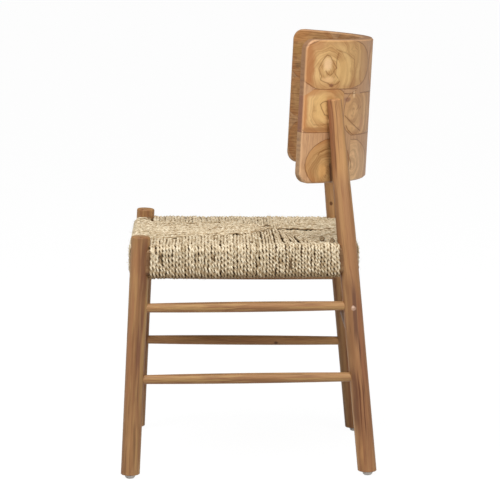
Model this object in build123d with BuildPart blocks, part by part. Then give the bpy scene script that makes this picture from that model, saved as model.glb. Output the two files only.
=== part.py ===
"""Side chair of turned teak with a woven seat and a curved back of log slices.

Millimetres, +Z up, the chair faces -Y. The origin is on the floor, under the middle
of the chair's bounding box. "Left" is the sitter's left, the +X side.

The four legs are splayed and joined by round stretchers and by flat seat rails, all
with tenons let into the legs. A cord is woven over the rails. The back is a bent
panel glued up from cross-cut slices of teak logs, and the rear legs end halfway up
its hollowed outer face, where dowels hold it.
"""

from build123d import *
import os
from math import asin, cos, degrees, radians, sin, sqrt

os.makedirs("parts", exist_ok=True)

# ---------------------------------------------------------------- driving dimensions

GLIDE_HEIGHT = 8.5  # the wood of each foot starts here, on its plastic glide
GLIDE_RADIUS = 10.0
GLIDE_TREAD_RADIUS = 6.0  # the flat patch that touches the floor
NAIL_RADIUS = 1.25
NAIL_LENGTH = 20.0

# Leg centre lines, as places in plan at floor level and at the leg's top.
FRONT_FOOT = (235.0, -231.8)
FRONT_TOP = (230.3, -208.3)
FRONT_TOP_Z = 472.0
LEG_RADIUS = 18.35
FRONT_TOP_ROUND = 3.5

REAR_FOOT = (213.0, 229.9)
REAR_TOP = (202.2, 162.4)
REAR_TOP_Z = 732.0
REAR_SLIM_FROM = 480.0  # along the leg, from where it slims to its top radius
REAR_TOP_RADIUS = 14.0
REAR_TOP_ROUND = 2.5

# Seat rails, level, all at one height.
RAIL_TOP = 448.0
RAIL_HEIGHT = 51.0
RAIL_THICKNESS = 26.0
RAIL_EDGE_ROUND = 8.0
RAIL_PROUD = 1.5  # the rails stand this far outside the leg centres
TENON_THICKNESS = 12.0
TENON_HEIGHT = 20.0
TENON_PAST_AXIS = 6.0  # how far past the leg's centre a tenon reaches

# Round stretchers, at three heights so that their sockets never meet.
UPPER_STRETCHER_Z = 332.7
LOWER_STRETCHER_Z = 193.4
CROSS_STRETCHER_Z = 258.0  # front and rear stretchers
STRETCHER_RADIUS = 10.2
STRETCHER_END_RADIUS = 8.8
STRETCHER_TENON_FROM = 18.5  # from a leg's centre line
SOCKET_PAST_AXIS = 4.0
PIN_RADIUS = 2.6
PIN_LENGTH = 24.0

# Woven seat.
CORD = 7.5  # thickness of the wound cord layer
SEAT_CROWN = 7.0  # how far the top rises where the four woven fields meet
SEAT_CROWN_Y = 63.0
LEG_NOTCH = 21.8  # the winding starts this far from a leg's centre line
PADDING_GAP = 9.0

# Back panel: a bent board that leans back, with its axis of bend in front of it.
BACK_RADIUS = 261.9  # outer face
BACK_THICKNESS = 21.5
BACK_HEIGHT = 275.7
BACK_HALF_ANGLE = 62.6
BACK_LEAN = 3.0
BACK_BOTTOM = (235.5, 564.8)  # y and z of the rearmost point of the bottom edge
BACK_CORNER = 22.0
BACK_EDGE_BEVEL = 3.4
BACK_DOWEL_RADIUS = 5.0
BACK_DOWEL_HEIGHTS = (684.0, 714.0)
BACK_DOWEL_IN_PANEL = 15.0
BACK_DOWEL_IN_LEG = 14.0

# The log slices of the back: name, start and end bearing, low and high edge. Bearings
# run from the left end to the right end of the panel, and heights up its face. A
# slice laid later is scribed to those before it.
BACK_SLICES = (
    ("top_1", 62.6, 28.5, 181.0, BACK_HEIGHT),
    ("top_2", 28.5, -6.0, 172.0, BACK_HEIGHT),
    ("top_3", -6.0, -36.0, 184.0, BACK_HEIGHT),
    ("top_4", -36.0, -62.6, 176.0, BACK_HEIGHT),
    ("middle_1", 62.6, 40.0, 98.0, 184.0),
    ("middle_2", 40.0, 11.0, 90.5, 184.0),
    ("middle_3", 11.0, -17.0, 96.0, 184.0),
    ("middle_4", -17.0, -42.0, 88.0, 184.0),
    ("middle_5", -42.0, -62.6, 97.0, 184.0),
    ("bottom_1", 62.6, 33.0, 0.0, 98.0),
    ("bottom_2", 33.0, 3.0, 0.0, 98.0),
    ("bottom_3", 3.0, -28.0, 0.0, 98.0),
    ("bottom_4", -28.0, -62.6, 0.0, 98.0),
)
# Filler wedges where the round slices leave a gap: bearing, height, size, pointing.
BACK_WEDGES = (
    (61.0, 181.0, 15.0, 0.0),
    (28.5, 176.0, 13.0, 200.0),
    (40.0, 97.0, 12.0, 30.0),
    (-6.0, 178.0, 13.0, 150.0),
    (-36.0, 181.0, 12.0, 80.0),
    (-17.0, 93.0, 12.0, 10.0),
)

# ------------------------------------------------------------------- derived geometry

SIDES = {"left": 1, "right": -1}
RAIL_MIDDLE_Z = RAIL_TOP - RAIL_HEIGHT / 2
BACK_PLANE = Plane(
    origin=(0, *BACK_BOTTOM),
    x_dir=(1, 0, 0),
    z_dir=(0, sin(radians(BACK_LEAN)), cos(radians(BACK_LEAN))),
)


def front_leg_at(z: float) -> Vector:
    """Point on the left front leg's centre line at height z."""
    part = z / FRONT_TOP_Z
    x = FRONT_FOOT[0] + (FRONT_TOP[0] - FRONT_FOOT[0]) * part
    y = FRONT_FOOT[1] + (FRONT_TOP[1] - FRONT_FOOT[1]) * part
    return Vector(x, y, z)


def rear_leg_at(z: float) -> Vector:
    """Point on the left rear leg's centre line at height z."""
    part = z / REAR_TOP_Z
    x = REAR_FOOT[0] + (REAR_TOP[0] - REAR_FOOT[0]) * part
    y = REAR_FOOT[1] + (REAR_TOP[1] - REAR_FOOT[1]) * part
    return Vector(x, y, z)


def across(point: Vector) -> Vector:
    """The same point on the chair's right side."""
    return Vector(-point.X, point.Y, point.Z)


def finish(piece: BuildPart, name: str) -> None:
    """Label a finished piece and write its STEP file."""
    piece.part.label = name
    export_step(piece.part, f"parts/{name}.step")


def section_plane(start: Vector, end: Vector) -> Plane:
    """Plane across the line from start to end, local Y up, at the start."""
    along = (end - start).normalized()
    level = Vector(0, 0, 1).cross(along).normalized()
    return Plane(origin=start, x_dir=level, z_dir=along)


def profile_plane(start: Vector, end: Vector) -> Plane:
    """Plane that holds the line from start to end as its local Y axis."""
    section = section_plane(start, end)
    return Plane(origin=start, x_dir=section.x_dir, z_dir=section.x_dir.cross(section.z_dir))


# ------------------------------------------------------------------------ leg blanks

def make_leg_blank(
    base: Vector, top: Vector, slim_from: float, top_radius: float, top_round: float
) -> BuildPart:
    """Turned leg on the line from base to top, cut level where its glide sits.

    It is cylindrical up to slim_from along the line, then slims to top_radius, and its
    top edge is eased by two bevels that take top_round off it.
    """
    length = (top - base).length
    with BuildPart() as blank:
        with BuildSketch(profile_plane(base, top)):
            with BuildLine():
                Polyline(
                    (0, 0),
                    (LEG_RADIUS, 0),
                    (LEG_RADIUS, slim_from),
                    (top_radius, length - top_round),
                    (top_radius - 0.3 * top_round, length - 0.3 * top_round),
                    (top_radius - top_round, length),
                    (0, length),
                    close=True,
                )
            make_face()
        revolve(axis=Axis(base, top - base))
        split(bisect_by=Plane.XY.offset(GLIDE_HEIGHT), keep=Keep.TOP)
        chamfer(blank.faces().sort_by(Axis.Z)[0].edges(), 1.2)
    return blank


front_blank = make_leg_blank(
    front_leg_at(0), front_leg_at(FRONT_TOP_Z), FRONT_TOP_Z / 2, LEG_RADIUS, FRONT_TOP_ROUND
)
rear_blank = make_leg_blank(
    rear_leg_at(0), rear_leg_at(REAR_TOP_Z), REAR_SLIM_FROM, REAR_TOP_RADIUS, REAR_TOP_ROUND
)

# ------------------------------------------------------------------------ stretchers


def make_stretcher(start: Vector, end: Vector) -> BuildPart:
    """Turned stretcher between two leg centre lines: swelled, with straight tenons."""
    length = (end - start).length
    tenon = STRETCHER_TENON_FROM
    with BuildPart() as stretcher:
        with BuildSketch(profile_plane(start, end)):
            with BuildLine():
                swell = ThreePointArc(
                    (STRETCHER_END_RADIUS, tenon),
                    (STRETCHER_RADIUS, length / 2),
                    (STRETCHER_END_RADIUS, length - tenon),
                )
                Polyline(
                    swell @ 1,
                    (STRETCHER_END_RADIUS, length + SOCKET_PAST_AXIS),
                    (0, length + SOCKET_PAST_AXIS),
                    (0, -SOCKET_PAST_AXIS),
                    (STRETCHER_END_RADIUS, -SOCKET_PAST_AXIS),
                    swell @ 0,
                )
            make_face()
        revolve(axis=Axis(start, end - start))
    return stretcher


upper_stretcher = make_stretcher(
    front_leg_at(UPPER_STRETCHER_Z), rear_leg_at(UPPER_STRETCHER_Z)
)
lower_stretcher = make_stretcher(
    front_leg_at(LOWER_STRETCHER_Z), rear_leg_at(LOWER_STRETCHER_Z)
)
front_stretcher = make_stretcher(
    front_leg_at(CROSS_STRETCHER_Z), across(front_leg_at(CROSS_STRETCHER_Z))
)
rear_stretcher = make_stretcher(
    rear_leg_at(CROSS_STRETCHER_Z), across(rear_leg_at(CROSS_STRETCHER_Z))
)
finish(front_stretcher, "front_stretcher")
finish(rear_stretcher, "rear_stretcher")

# A peg from the outer side locks each upper stretcher in its rear leg.
pin_middle = rear_leg_at(UPPER_STRETCHER_Z)
with BuildPart() as left_pin:
    pin_plane = Plane(origin=pin_middle, x_dir=(0, 1, 0), z_dir=(1, 0, 0))
    with BuildSketch(pin_plane.offset(LEG_RADIUS - PIN_LENGTH)):
        Circle(PIN_RADIUS)
    extrude(amount=PIN_LENGTH + 1)
    add(rear_blank.part, mode=Mode.INTERSECT)
with BuildPart() as tenon_pins:
    add(left_pin.part)
    mirror(left_pin.part, about=Plane.YZ)
finish(tenon_pins, "tenon_pins")

for side, sign in SIDES.items():
    for level, stretcher in (("upper", upper_stretcher), ("lower", lower_stretcher)):
        with BuildPart() as side_stretcher:
            add(stretcher.part)
            if level == "upper":
                add(left_pin.part, mode=Mode.SUBTRACT)
            if sign < 0:
                mirror(about=Plane.YZ, mode=Mode.REPLACE)
        finish(side_stretcher, f"side_stretcher_{level}_{side}")

# ------------------------------------------------------------------------ seat rails


def make_rail(start: Vector, end: Vector, outward: Vector, tenon_rise: float) -> BuildPart:
    """Seat rail between two leg centres: coped round the legs, with a tenon each end.

    The rail stands RAIL_PROUD outside the line of the leg centres. Tenons of rails
    that meet in one leg lie at different heights, tenon_rise above the rail's middle.
    """
    shift = outward.normalized() * RAIL_PROUD
    plane = section_plane(start + shift, end + shift)
    length = (end - start).length
    with BuildPart() as rail:
        with BuildSketch(plane):
            RectangleRounded(RAIL_THICKNESS, RAIL_HEIGHT, RAIL_EDGE_ROUND)
        extrude(amount=length)
        for blank in (front_blank, rear_blank):
            add(blank.part, mode=Mode.SUBTRACT)
            add(blank.part.mirror(Plane.YZ), mode=Mode.SUBTRACT)
        with BuildSketch(plane.offset(-TENON_PAST_AXIS)):
            with Locations((0, tenon_rise)):
                Rectangle(TENON_THICKNESS, TENON_HEIGHT)
        extrude(amount=length + 2 * TENON_PAST_AXIS)
    return rail


rail_front_corner = front_leg_at(RAIL_MIDDLE_Z)
rail_rear_corner = rear_leg_at(RAIL_MIDDLE_Z)
tenon_step = TENON_HEIGHT / 2 + 1
front_rail = make_rail(
    rail_front_corner, across(rail_front_corner), Vector(0, -1, 0), tenon_step
)
rear_rail = make_rail(
    rail_rear_corner, across(rail_rear_corner), Vector(0, 1, 0), tenon_step
)
side_rail_left = make_rail(rail_front_corner, rail_rear_corner, Vector(1, 0, 0), -tenon_step)
with BuildPart() as side_rail_right:
    mirror(side_rail_left.part, about=Plane.YZ)
finish(front_rail, "front_rail")
finish(rear_rail, "rear_rail")
finish(side_rail_left, "side_rail_left")
finish(side_rail_right, "side_rail_right")

# ------------------------------------------------------------------------ back panel


def bearing_point(bearing: float, radius: float) -> tuple[float, float]:
    """Place in the back plane's sketch of a bearing from the rear, at a radius."""
    turn = radians(bearing)
    return (radius * sin(turn), radius * cos(turn) - BACK_RADIUS)


def back_radial_plane(bearing: float, height: float) -> Plane:
    """Plane facing outwards at a bearing, on the bend's axis, at a height."""
    turn = radians(bearing)
    centre = BACK_PLANE.from_local_coords((0, -BACK_RADIUS, height))
    outward = BACK_PLANE.from_local_coords((sin(turn), cos(turn) - BACK_RADIUS, height))
    level = BACK_PLANE.from_local_coords((-cos(turn), sin(turn) - BACK_RADIUS, height))
    return Plane(origin=centre, x_dir=level - centre, z_dir=outward - centre)


# The whole panel, bent, with round corners and bevelled edges.
with BuildPart() as back_blank:
    inner_radius = BACK_RADIUS - BACK_THICKNESS
    with BuildSketch(BACK_PLANE):
        with BuildLine():
            outer_arc = CenterArc(
                (0, -BACK_RADIUS), BACK_RADIUS, 90 - BACK_HALF_ANGLE, 2 * BACK_HALF_ANGLE
            )
            inner_arc = CenterArc(
                (0, -BACK_RADIUS), inner_radius, 90 - BACK_HALF_ANGLE, 2 * BACK_HALF_ANGLE
            )
            Line(outer_arc @ 0, inner_arc @ 0)
            Line(outer_arc @ 1, inner_arc @ 1)
        make_face()
    extrude(amount=BACK_HEIGHT)
    straight = back_blank.edges().filter_by(GeomType.LINE)
    corners = straight.filter_by(lambda edge: abs(edge.length - BACK_THICKNESS) < 0.01)
    fillet(corners, BACK_CORNER)
    chamfer(back_blank.edges(), BACK_EDGE_BEVEL)

# Wedges fill the gaps between round slices.
with BuildPart() as filler_wedges:
    for bearing, height, size, pointing in BACK_WEDGES:
        with BuildSketch(back_radial_plane(bearing, height)):
            RegularPolygon(radius=size, side_count=3, rotation=pointing)
        extrude(amount=BACK_RADIUS + BACK_THICKNESS)
    add(back_blank.part, mode=Mode.INTERSECT)

# Dowels from the tops of the rear legs into the back.
dowel_bearing = degrees(asin(REAR_TOP[0] / (BACK_RADIUS + 9)))
with BuildPart() as back_dowels:
    for height in BACK_DOWEL_HEIGHTS:
        up_face = (height - BACK_BOTTOM[1]) / cos(radians(BACK_LEAN))
        plane = back_radial_plane(dowel_bearing, up_face)
        with BuildSketch(plane.offset(BACK_RADIUS - BACK_DOWEL_IN_PANEL)):
            Circle(BACK_DOWEL_RADIUS)
        extrude(amount=BACK_DOWEL_IN_PANEL + BACK_DOWEL_IN_LEG)
    mirror(about=Plane.YZ)
finish(back_dowels, "back_dowels")

# Each slice is a sector of the blank, scribed to the slices laid before it.
laid_slices = []
reach = BACK_RADIUS + 40
for name, start, end, low, high in BACK_SLICES:
    middle = (start + end) / 2
    with BuildPart() as log_slice:
        with BuildSketch(BACK_PLANE.offset(low)):
            with BuildLine():
                Polyline(
                    bearing_point(0, 0),
                    bearing_point(start, reach),
                    bearing_point(middle, reach),
                    bearing_point(end, reach),
                    close=True,
                )
            make_face()
        extrude(amount=high - low)
        add(back_blank.part, mode=Mode.INTERSECT)
        add([filler_wedges.part, back_dowels.part], mode=Mode.SUBTRACT)
        if laid_slices:
            add(laid_slices, mode=Mode.SUBTRACT)
    laid_slices.append(log_slice.part)
    finish(log_slice, f"back_slice_{name}")
finish(filler_wedges, "filler_wedges")

# ---------------------------------------------------------------------------- glides

with BuildPart() as glide_nails:
    for foot in (front_leg_at(0), rear_leg_at(0)):
        for place in (foot, across(foot)):
            with BuildSketch(Plane(origin=place, z_dir=(0, 0, 1)).offset(GLIDE_HEIGHT / 2)):
                Circle(NAIL_RADIUS)
            extrude(amount=NAIL_LENGTH)
finish(glide_nails, "glide_nails")

with BuildPart() as glides:
    for foot in (front_leg_at(0), rear_leg_at(0)):
        for place in (foot, across(foot)):
            with BuildSketch(Plane(origin=place, x_dir=(1, 0, 0), z_dir=(0, -1, 0))):
                with BuildLine():
                    Polyline(
                        (0, 0),
                        (GLIDE_TREAD_RADIUS, 0),
                        (GLIDE_RADIUS, 4.5),
                        (GLIDE_RADIUS, GLIDE_HEIGHT),
                        (0, GLIDE_HEIGHT),
                        close=True,
                    )
                make_face()
            revolve(axis=Axis(place, (0, 0, 1)))
    add(glide_nails.part, mode=Mode.SUBTRACT)
finish(glides, "glides")

# ------------------------------------------------------------------------------ legs

rails = [front_rail.part, rear_rail.part, side_rail_left.part]
stretchers = [
    upper_stretcher.part,
    lower_stretcher.part,
    front_stretcher.part,
    rear_stretcher.part,
]
with BuildPart() as front_leg_left:
    add(front_blank.part)
    add(rails + stretchers + [glide_nails.part], mode=Mode.SUBTRACT)
with BuildPart() as rear_leg_left:
    add(rear_blank.part)
    add(rails + stretchers + [glide_nails.part], mode=Mode.SUBTRACT)
    add([left_pin.part, back_dowels.part, back_blank.part], mode=Mode.SUBTRACT)
for end_name, left_leg in (("front", front_leg_left), ("rear", rear_leg_left)):
    finish(left_leg, f"{end_name}_leg_left")
    with BuildPart() as right_leg:
        mirror(left_leg.part, about=Plane.YZ)
    finish(right_leg, f"{end_name}_leg_right")

# ------------------------------------------------------------------------ woven seat

cover = RAIL_THICKNESS / 2 + RAIL_PROUD + CORD  # from leg centres to the cord's face
seat_front = rail_front_corner.Y - cover
seat_rear = rail_rear_corner.Y + cover
side_run = rail_rear_corner - rail_front_corner
side_slope = side_run.X / side_run.Y
side_cover = cover * sqrt(1 + side_slope**2)


def seat_half_width(y: float, inset: float) -> float:
    """Half the seat's width at y, inset from the side rails' centre lines."""
    return rail_front_corner.X + side_slope * (y - rail_front_corner.Y) - inset


def seat_outline(front: float, rear: float, inset: float) -> list[tuple[float, float]]:
    """Corners of the seat's trapezoid, inset from the side rails' centre lines."""
    front_half = seat_half_width(front, inset)
    rear_half = seat_half_width(rear, inset)
    return [(-front_half, front), (front_half, front), (rear_half, rear), (-rear_half, rear)]


# A pad of cord offcuts fills the pocket between the two faces of the weave.
pad_inset = RAIL_THICKNESS / 2 + PADDING_GAP
with BuildPart() as seat_padding:
    with BuildSketch(Plane.XY.offset(RAIL_TOP - RAIL_HEIGHT)):
        with BuildLine():
            Polyline(
                *seat_outline(
                    rail_front_corner.Y + pad_inset, rail_rear_corner.Y - pad_inset, pad_inset
                ),
                close=True,
            )
        make_face()
    extrude(amount=RAIL_HEIGHT)
finish(seat_padding, "seat_padding")

# The cord wound over the rails, as one body: round over each rail, crowned on top,
# and notched at the corners for the legs.
seat_bottom = RAIL_TOP - RAIL_HEIGHT - CORD
seat_top = RAIL_TOP + CORD
with BuildPart() as woven_seat:
    with BuildSketch(Plane.XY.offset(seat_bottom)):
        with BuildLine():
            Polyline(*seat_outline(seat_front, seat_rear, -side_cover), close=True)
        make_face()
    extrude(amount=seat_top - seat_bottom)
    rims = woven_seat.faces().filter_by(Axis.Z).edges()
    fillet(rims, RAIL_EDGE_ROUND + CORD)
    with BuildSketch(Plane.XY.offset(seat_top)) as crown_base:
        with BuildLine():
            Polyline(
                *seat_outline(seat_front + cover, seat_rear - cover, RAIL_THICKNESS), close=True
            )
        make_face()
    crown_top = Vertex(0, SEAT_CROWN_Y, seat_top + SEAT_CROWN)
    loft(sections=[crown_base.sketch.faces()[0], crown_top], ruled=True)
    for corner, fore in ((rail_front_corner, -1), (rail_rear_corner, 1)):
        for sign in SIDES.values():
            with Locations((sign * (corner.X - LEG_NOTCH), corner.Y - fore * LEG_NOTCH)):
                Box(
                    4 * LEG_NOTCH,
                    4 * LEG_NOTCH,
                    2 * seat_top,
                    align=(
                        Align.MIN if sign > 0 else Align.MAX,
                        Align.MIN if fore > 0 else Align.MAX,
                        Align.CENTER,
                    ),
                    mode=Mode.SUBTRACT,
                )
    add([front_rail.part, rear_rail.part], mode=Mode.SUBTRACT)
    add([side_rail_left.part, side_rail_right.part, seat_padding.part], mode=Mode.SUBTRACT)
finish(woven_seat, "woven_seat")
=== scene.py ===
"""Dresses the lamu chair: oiled teak frame, log-slice back and twisted seagrass seat.

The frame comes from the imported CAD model. The CAD nodes keep their meshes and are given
procedural finishes, and the one-body seat is replaced by the strands of the cord, wound
field by field. Metres, +Z up, the chair faces -Y and +X is the sitter's left.
"""

from __future__ import annotations

import logging
import math
from dataclasses import dataclass, field
from enum import Enum
from functools import reduce
from typing import Protocol

import bpy
import numpy as np
from mathutils import Matrix, Vector

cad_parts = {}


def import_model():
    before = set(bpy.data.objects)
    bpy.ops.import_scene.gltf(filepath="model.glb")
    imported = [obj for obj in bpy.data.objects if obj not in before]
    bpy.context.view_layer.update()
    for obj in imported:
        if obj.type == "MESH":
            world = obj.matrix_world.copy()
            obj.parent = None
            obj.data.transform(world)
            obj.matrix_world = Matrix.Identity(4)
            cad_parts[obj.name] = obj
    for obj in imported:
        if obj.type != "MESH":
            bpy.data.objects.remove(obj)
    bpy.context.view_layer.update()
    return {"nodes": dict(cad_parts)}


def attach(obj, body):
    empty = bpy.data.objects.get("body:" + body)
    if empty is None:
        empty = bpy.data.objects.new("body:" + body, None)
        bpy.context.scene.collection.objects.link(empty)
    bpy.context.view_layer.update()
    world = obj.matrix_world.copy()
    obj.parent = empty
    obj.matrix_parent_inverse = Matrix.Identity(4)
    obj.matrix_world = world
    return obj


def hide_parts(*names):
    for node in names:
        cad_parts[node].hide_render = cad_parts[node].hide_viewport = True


LOG = logging.getLogger("lamu_chair")
MM = 0.001
Colour = tuple[float, float, float]


def srgb(red: int, green: int, blue: int) -> Colour:
    """Linear colour of the usual 8-bit values."""
    return tuple(
        part / 12.92 if part <= 0.04045 else ((part + 0.055) / 1.055) ** 2.4
        for part in (red / 255, green / 255, blue / 255)
    )


# ---------------------------------------------------------------- sizes of the frame


class Side(Enum):
    """A side of the chair, with the sign of its X."""

    LEFT = 1
    RIGHT = -1


@dataclass(frozen=True)
class LegLine:
    """Centre line of a left leg, from the floor to its top.

    Args:
        foot: place in plan at floor level, in metres.
        top: place in plan at the top, in metres.
        top_z: height of the top, in metres.
    """

    foot: tuple[float, float]
    top: tuple[float, float]
    top_z: float

    def at(self, z: float, side: Side = Side.LEFT) -> Vector:
        """Point on the line at height z, on the given side."""
        part = z / self.top_z
        x = self.foot[0] + (self.top[0] - self.foot[0]) * part
        y = self.foot[1] + (self.top[1] - self.foot[1]) * part
        return Vector((side.value * x, y, z))


FRONT_LEG = LegLine((0.235, -0.2318), (0.2303, -0.2083), 0.472)
REAR_LEG = LegLine((0.213, 0.2299), (0.2022, 0.1624), 0.732)
RAIL_MIDDLE_Z = 0.4225


# --------------------------------------------------------------- shader arithmetic


@dataclass
class Value:
    """A socket in a node tree that can be added, multiplied and shaped like a number.

    Args:
        tree: the shader tree the socket is in.
        socket: the output socket.
    """

    tree: "ShaderTree"
    socket: bpy.types.NodeSocket

    def _math(self, operation: str, *others: "Value | float") -> "Value":
        """Math node of this value and the others."""
        return self.tree.node("ShaderNodeMath", [self, *others], operation=operation)

    def __add__(self, other: "Value | float") -> "Value":
        """Sum."""
        return self._math("ADD", other)

    __radd__ = __add__

    def __mul__(self, other: "Value | float") -> "Value":
        """Product."""
        return self._math("MULTIPLY", other)

    def __sub__(self, other: "Value | float") -> "Value":
        """Difference."""
        return self._math("SUBTRACT", other)

    def __rsub__(self, other: float) -> "Value":
        """Reflected difference."""
        return self.tree.node("ShaderNodeMath", [other, self], operation="SUBTRACT")

    def __truediv__(self, other: "Value | float") -> "Value":
        """Quotient."""
        return self._math("DIVIDE", other)

    def __pow__(self, power: float) -> "Value":
        """Power."""
        return self._math("POWER", power)

    def magnitude(self) -> "Value":
        """Absolute value."""
        return self._math("ABSOLUTE")

    def fraction(self) -> "Value":
        """Part after the point."""
        return self._math("FRACT")

    def bearing(self, north: "Value") -> "Value":
        """Angle from north, where this value is how far east a place lies."""
        return self._math("ARCTAN2", north)

    def clamped(self) -> "Value":
        """The value, kept between 0 and 1."""
        return self.tree.node("ShaderNodeMath", [self, 0.0], operation="ADD", use_clamp=True)

    def least(self, other: "Value | float") -> "Value":
        """The smaller of two values."""
        return self._math("MINIMUM", other)

    def most(self, other: "Value | float") -> "Value":
        """The larger of two values."""
        return self._math("MAXIMUM", other)

    def step(self, low: float, high: float) -> "Value":
        """Smooth step from 0 at low to 1 at high, in either direction."""
        falling = low > high
        return self.tree.node(
            "ShaderNodeMapRange",
            [self, min(low, high), max(low, high), float(falling), float(not falling)],
            interpolation_type="SMOOTHSTEP",
        )


class ShaderTree:
    """Builds the nodes of one material, or of the world, in a few readable lines."""

    def __init__(self, owner: bpy.types.Material | bpy.types.World) -> None:
        """Starts without nodes.

        Args:
            owner: the new material or world.
        """
        owner.use_nodes = True
        self.owner = owner
        self.nodes = owner.node_tree.nodes
        self.links = owner.node_tree.links
        self.nodes.clear()

    def plug(self, socket: bpy.types.NodeSocket, value: object) -> None:
        """Links a Value to a socket, or sets a constant on it."""
        if isinstance(value, Value):
            self.links.new(value.socket, socket)
        elif isinstance(value, tuple) and len(value) == 3 and socket.type == "RGBA":
            socket.default_value = (*value, 1.0)
        else:
            socket.default_value = value

    def node(
        self, kind: str, inputs: list | dict, output: int | str = 0, **settings: object
    ) -> Value:
        """Adds a node.

        Args:
            kind: the node's type name.
            inputs: values by place in a list, or by index or name in a dictionary.
            output: the output wanted, by index or name.
            settings: properties of the node.

        Returns:
            The chosen output.
        """
        made = self.nodes.new(kind)
        for key, setting in settings.items():
            setattr(made, key, setting)
        pairs = inputs.items() if isinstance(inputs, dict) else enumerate(inputs)
        for key, value in pairs:
            self.plug(made.inputs[key], value)
        return Value(self, made.outputs[output])

    def place(self, turn: Matrix | None = None, centre: Vector | None = None) -> Value:
        """Object coordinates, turned and centred for one piece.

        Args:
            turn: rotation from the piece's own axes to the chair's.
            centre: the piece's own origin, in the chair's axes.

        Returns:
            The place in the piece's own axes, in metres.
        """
        place = self.node("ShaderNodeTexCoord", {}, "Object")
        if turn is None:
            return place
        inverse = turn.to_3x3().inverted()
        shift = -(inverse @ (centre or Vector()))
        return self.node(
            "ShaderNodeMapping",
            {"Vector": place, "Location": shift, "Rotation": inverse.to_euler()},
            vector_type="POINT",
        )

    def vectors(self, operation: str, first: Value, second: "Value | Vector") -> Value:
        """Vector Math node of two vectors.

        Args:
            operation: what it does with them.
            first: the first vector.
            second: the second vector.

        Returns:
            The vector that it makes, or the number for a distance or a dot product.
        """
        output = "Value" if operation in ("DISTANCE", "DOT_PRODUCT") else "Vector"
        return self.node("ShaderNodeVectorMath", [first, second], output, operation=operation)

    def parts(self, vector: Value) -> tuple[Value, Value, Value]:
        """X, Y and Z of a vector."""
        split = self.node("ShaderNodeSeparateXYZ", [vector]).socket.node
        return tuple(Value(self, split.outputs[axis]) for axis in range(3))

    def joined(self, x: Value | float, y: Value | float, z: Value | float) -> Value:
        """Vector of three values."""
        return self.node("ShaderNodeCombineXYZ", [x, y, z])

    def noise(
        self,
        vector: Value,
        scale: tuple[float, float, float] = (1.0, 1.0, 1.0),
        detail: float = 2.0,
        rough: float = 0.5,
    ) -> Value:
        """Noise between 0 and 1, mostly near a half.

        Args:
            vector: where it is read.
            scale: how often it changes along each axis.
            detail: how many finer layers it has.
            rough: how strong those are.

        Returns:
            The noise.
        """
        place = self.vectors("MULTIPLY", vector, scale)
        inputs = {"Vector": place, "Scale": 1.0, "Detail": detail, "Roughness": rough}
        return self.node("ShaderNodeTexNoise", inputs)

    def mixed(
        self, first: "Value | Colour", second: "Value | Colour", share: Value | float
    ) -> Value:
        """Colour between two colours."""
        # The node has three sockets of the same name; these are the ones for colours.
        inputs = {0: share, 6: first, 7: second}
        return self.node("ShaderNodeMix", inputs, 2, data_type="RGBA")

    def finish(
        self,
        colour: Value,
        roughness: Value | float,
        height: Value,
        relief: float,
        **constants: float,
    ) -> bpy.types.Material:
        """Ends the material with one Principled shader.

        Args:
            colour: base colour.
            roughness: roughness.
            height: relief between 0 and 1.
            relief: depth of the relief, in metres.
            constants: further inputs of the shader, by name with underscores.

        Returns:
            The finished material.
        """
        bump = {"Strength": 1.0, "Distance": relief, "Height": height}
        inputs = {
            "Base Color": colour,
            "Roughness": roughness,
            "Normal": self.node("ShaderNodeBump", bump),
        }
        for key, value in constants.items():
            inputs[key.replace("_", " ")] = value
        return self.end(self.node("ShaderNodeBsdfPrincipled", inputs))

    def end(self, shader: Value) -> bpy.types.Material | bpy.types.World:
        """Makes a shader the surface of the material or the world, and returns that."""
        kind = "World" if isinstance(self.owner, bpy.types.World) else "Material"
        output = self.nodes.new(f"ShaderNodeOutput{kind}")
        self.links.new(shader.socket, output.inputs[0])
        return self.owner


class Finish(Protocol):
    """Anything that can build a material."""

    def material(self) -> bpy.types.Material:
        """Builds the material."""


def new_material(name: str) -> ShaderTree:
    """Shader tree of a new material."""
    return ShaderTree(bpy.data.materials.new(name))


# ------------------------------------------------------------------------ finishes


@dataclass(frozen=True)
class Band:
    """Band of other colour that runs along a leg: streaks of other wood, and painted light and
    shade down one side of the near legs.

    Args:
        offset: how far behind the leg's centre line it lies, in metres.
        half_width: half its width, in metres.
        low: height of its lower end, in metres.
        high: height of its upper end, in metres.
        colour: its colour.
        share: how much of that colour shows, from 0 to 1.
    """

    offset: float
    half_width: float
    low: float
    high: float
    colour: Colour
    share: float = 0.7


@dataclass(frozen=True)
class Mark:
    """A knot, or the rubbed wood round a peg.

    Args:
        place: its middle, in the chair's axes.
        radius: its radius, in metres.
        colour: its colour.
        share: how much of that colour shows, from 0 to 1.
    """

    place: tuple[float, float, float]
    radius: float
    colour: Colour
    share: float = 0.8


@dataclass(frozen=True)
class WoodLook:
    """How one piece of long-grain teak looks.

    Args:
        tone: brightness against the usual colour.
        red: how reddish the streaks are, from 0 to 1.
        bands: bands along the piece, of other wood and of painted light and shade.
        marks: knots and pegs.
        golden: how strongly golden and olive streaks show, from 0 to 1.
    """

    tone: float
    red: float = 0.5
    bands: tuple[Band, ...] = ()
    marks: tuple[Mark, ...] = ()
    golden: float = 0.0


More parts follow.
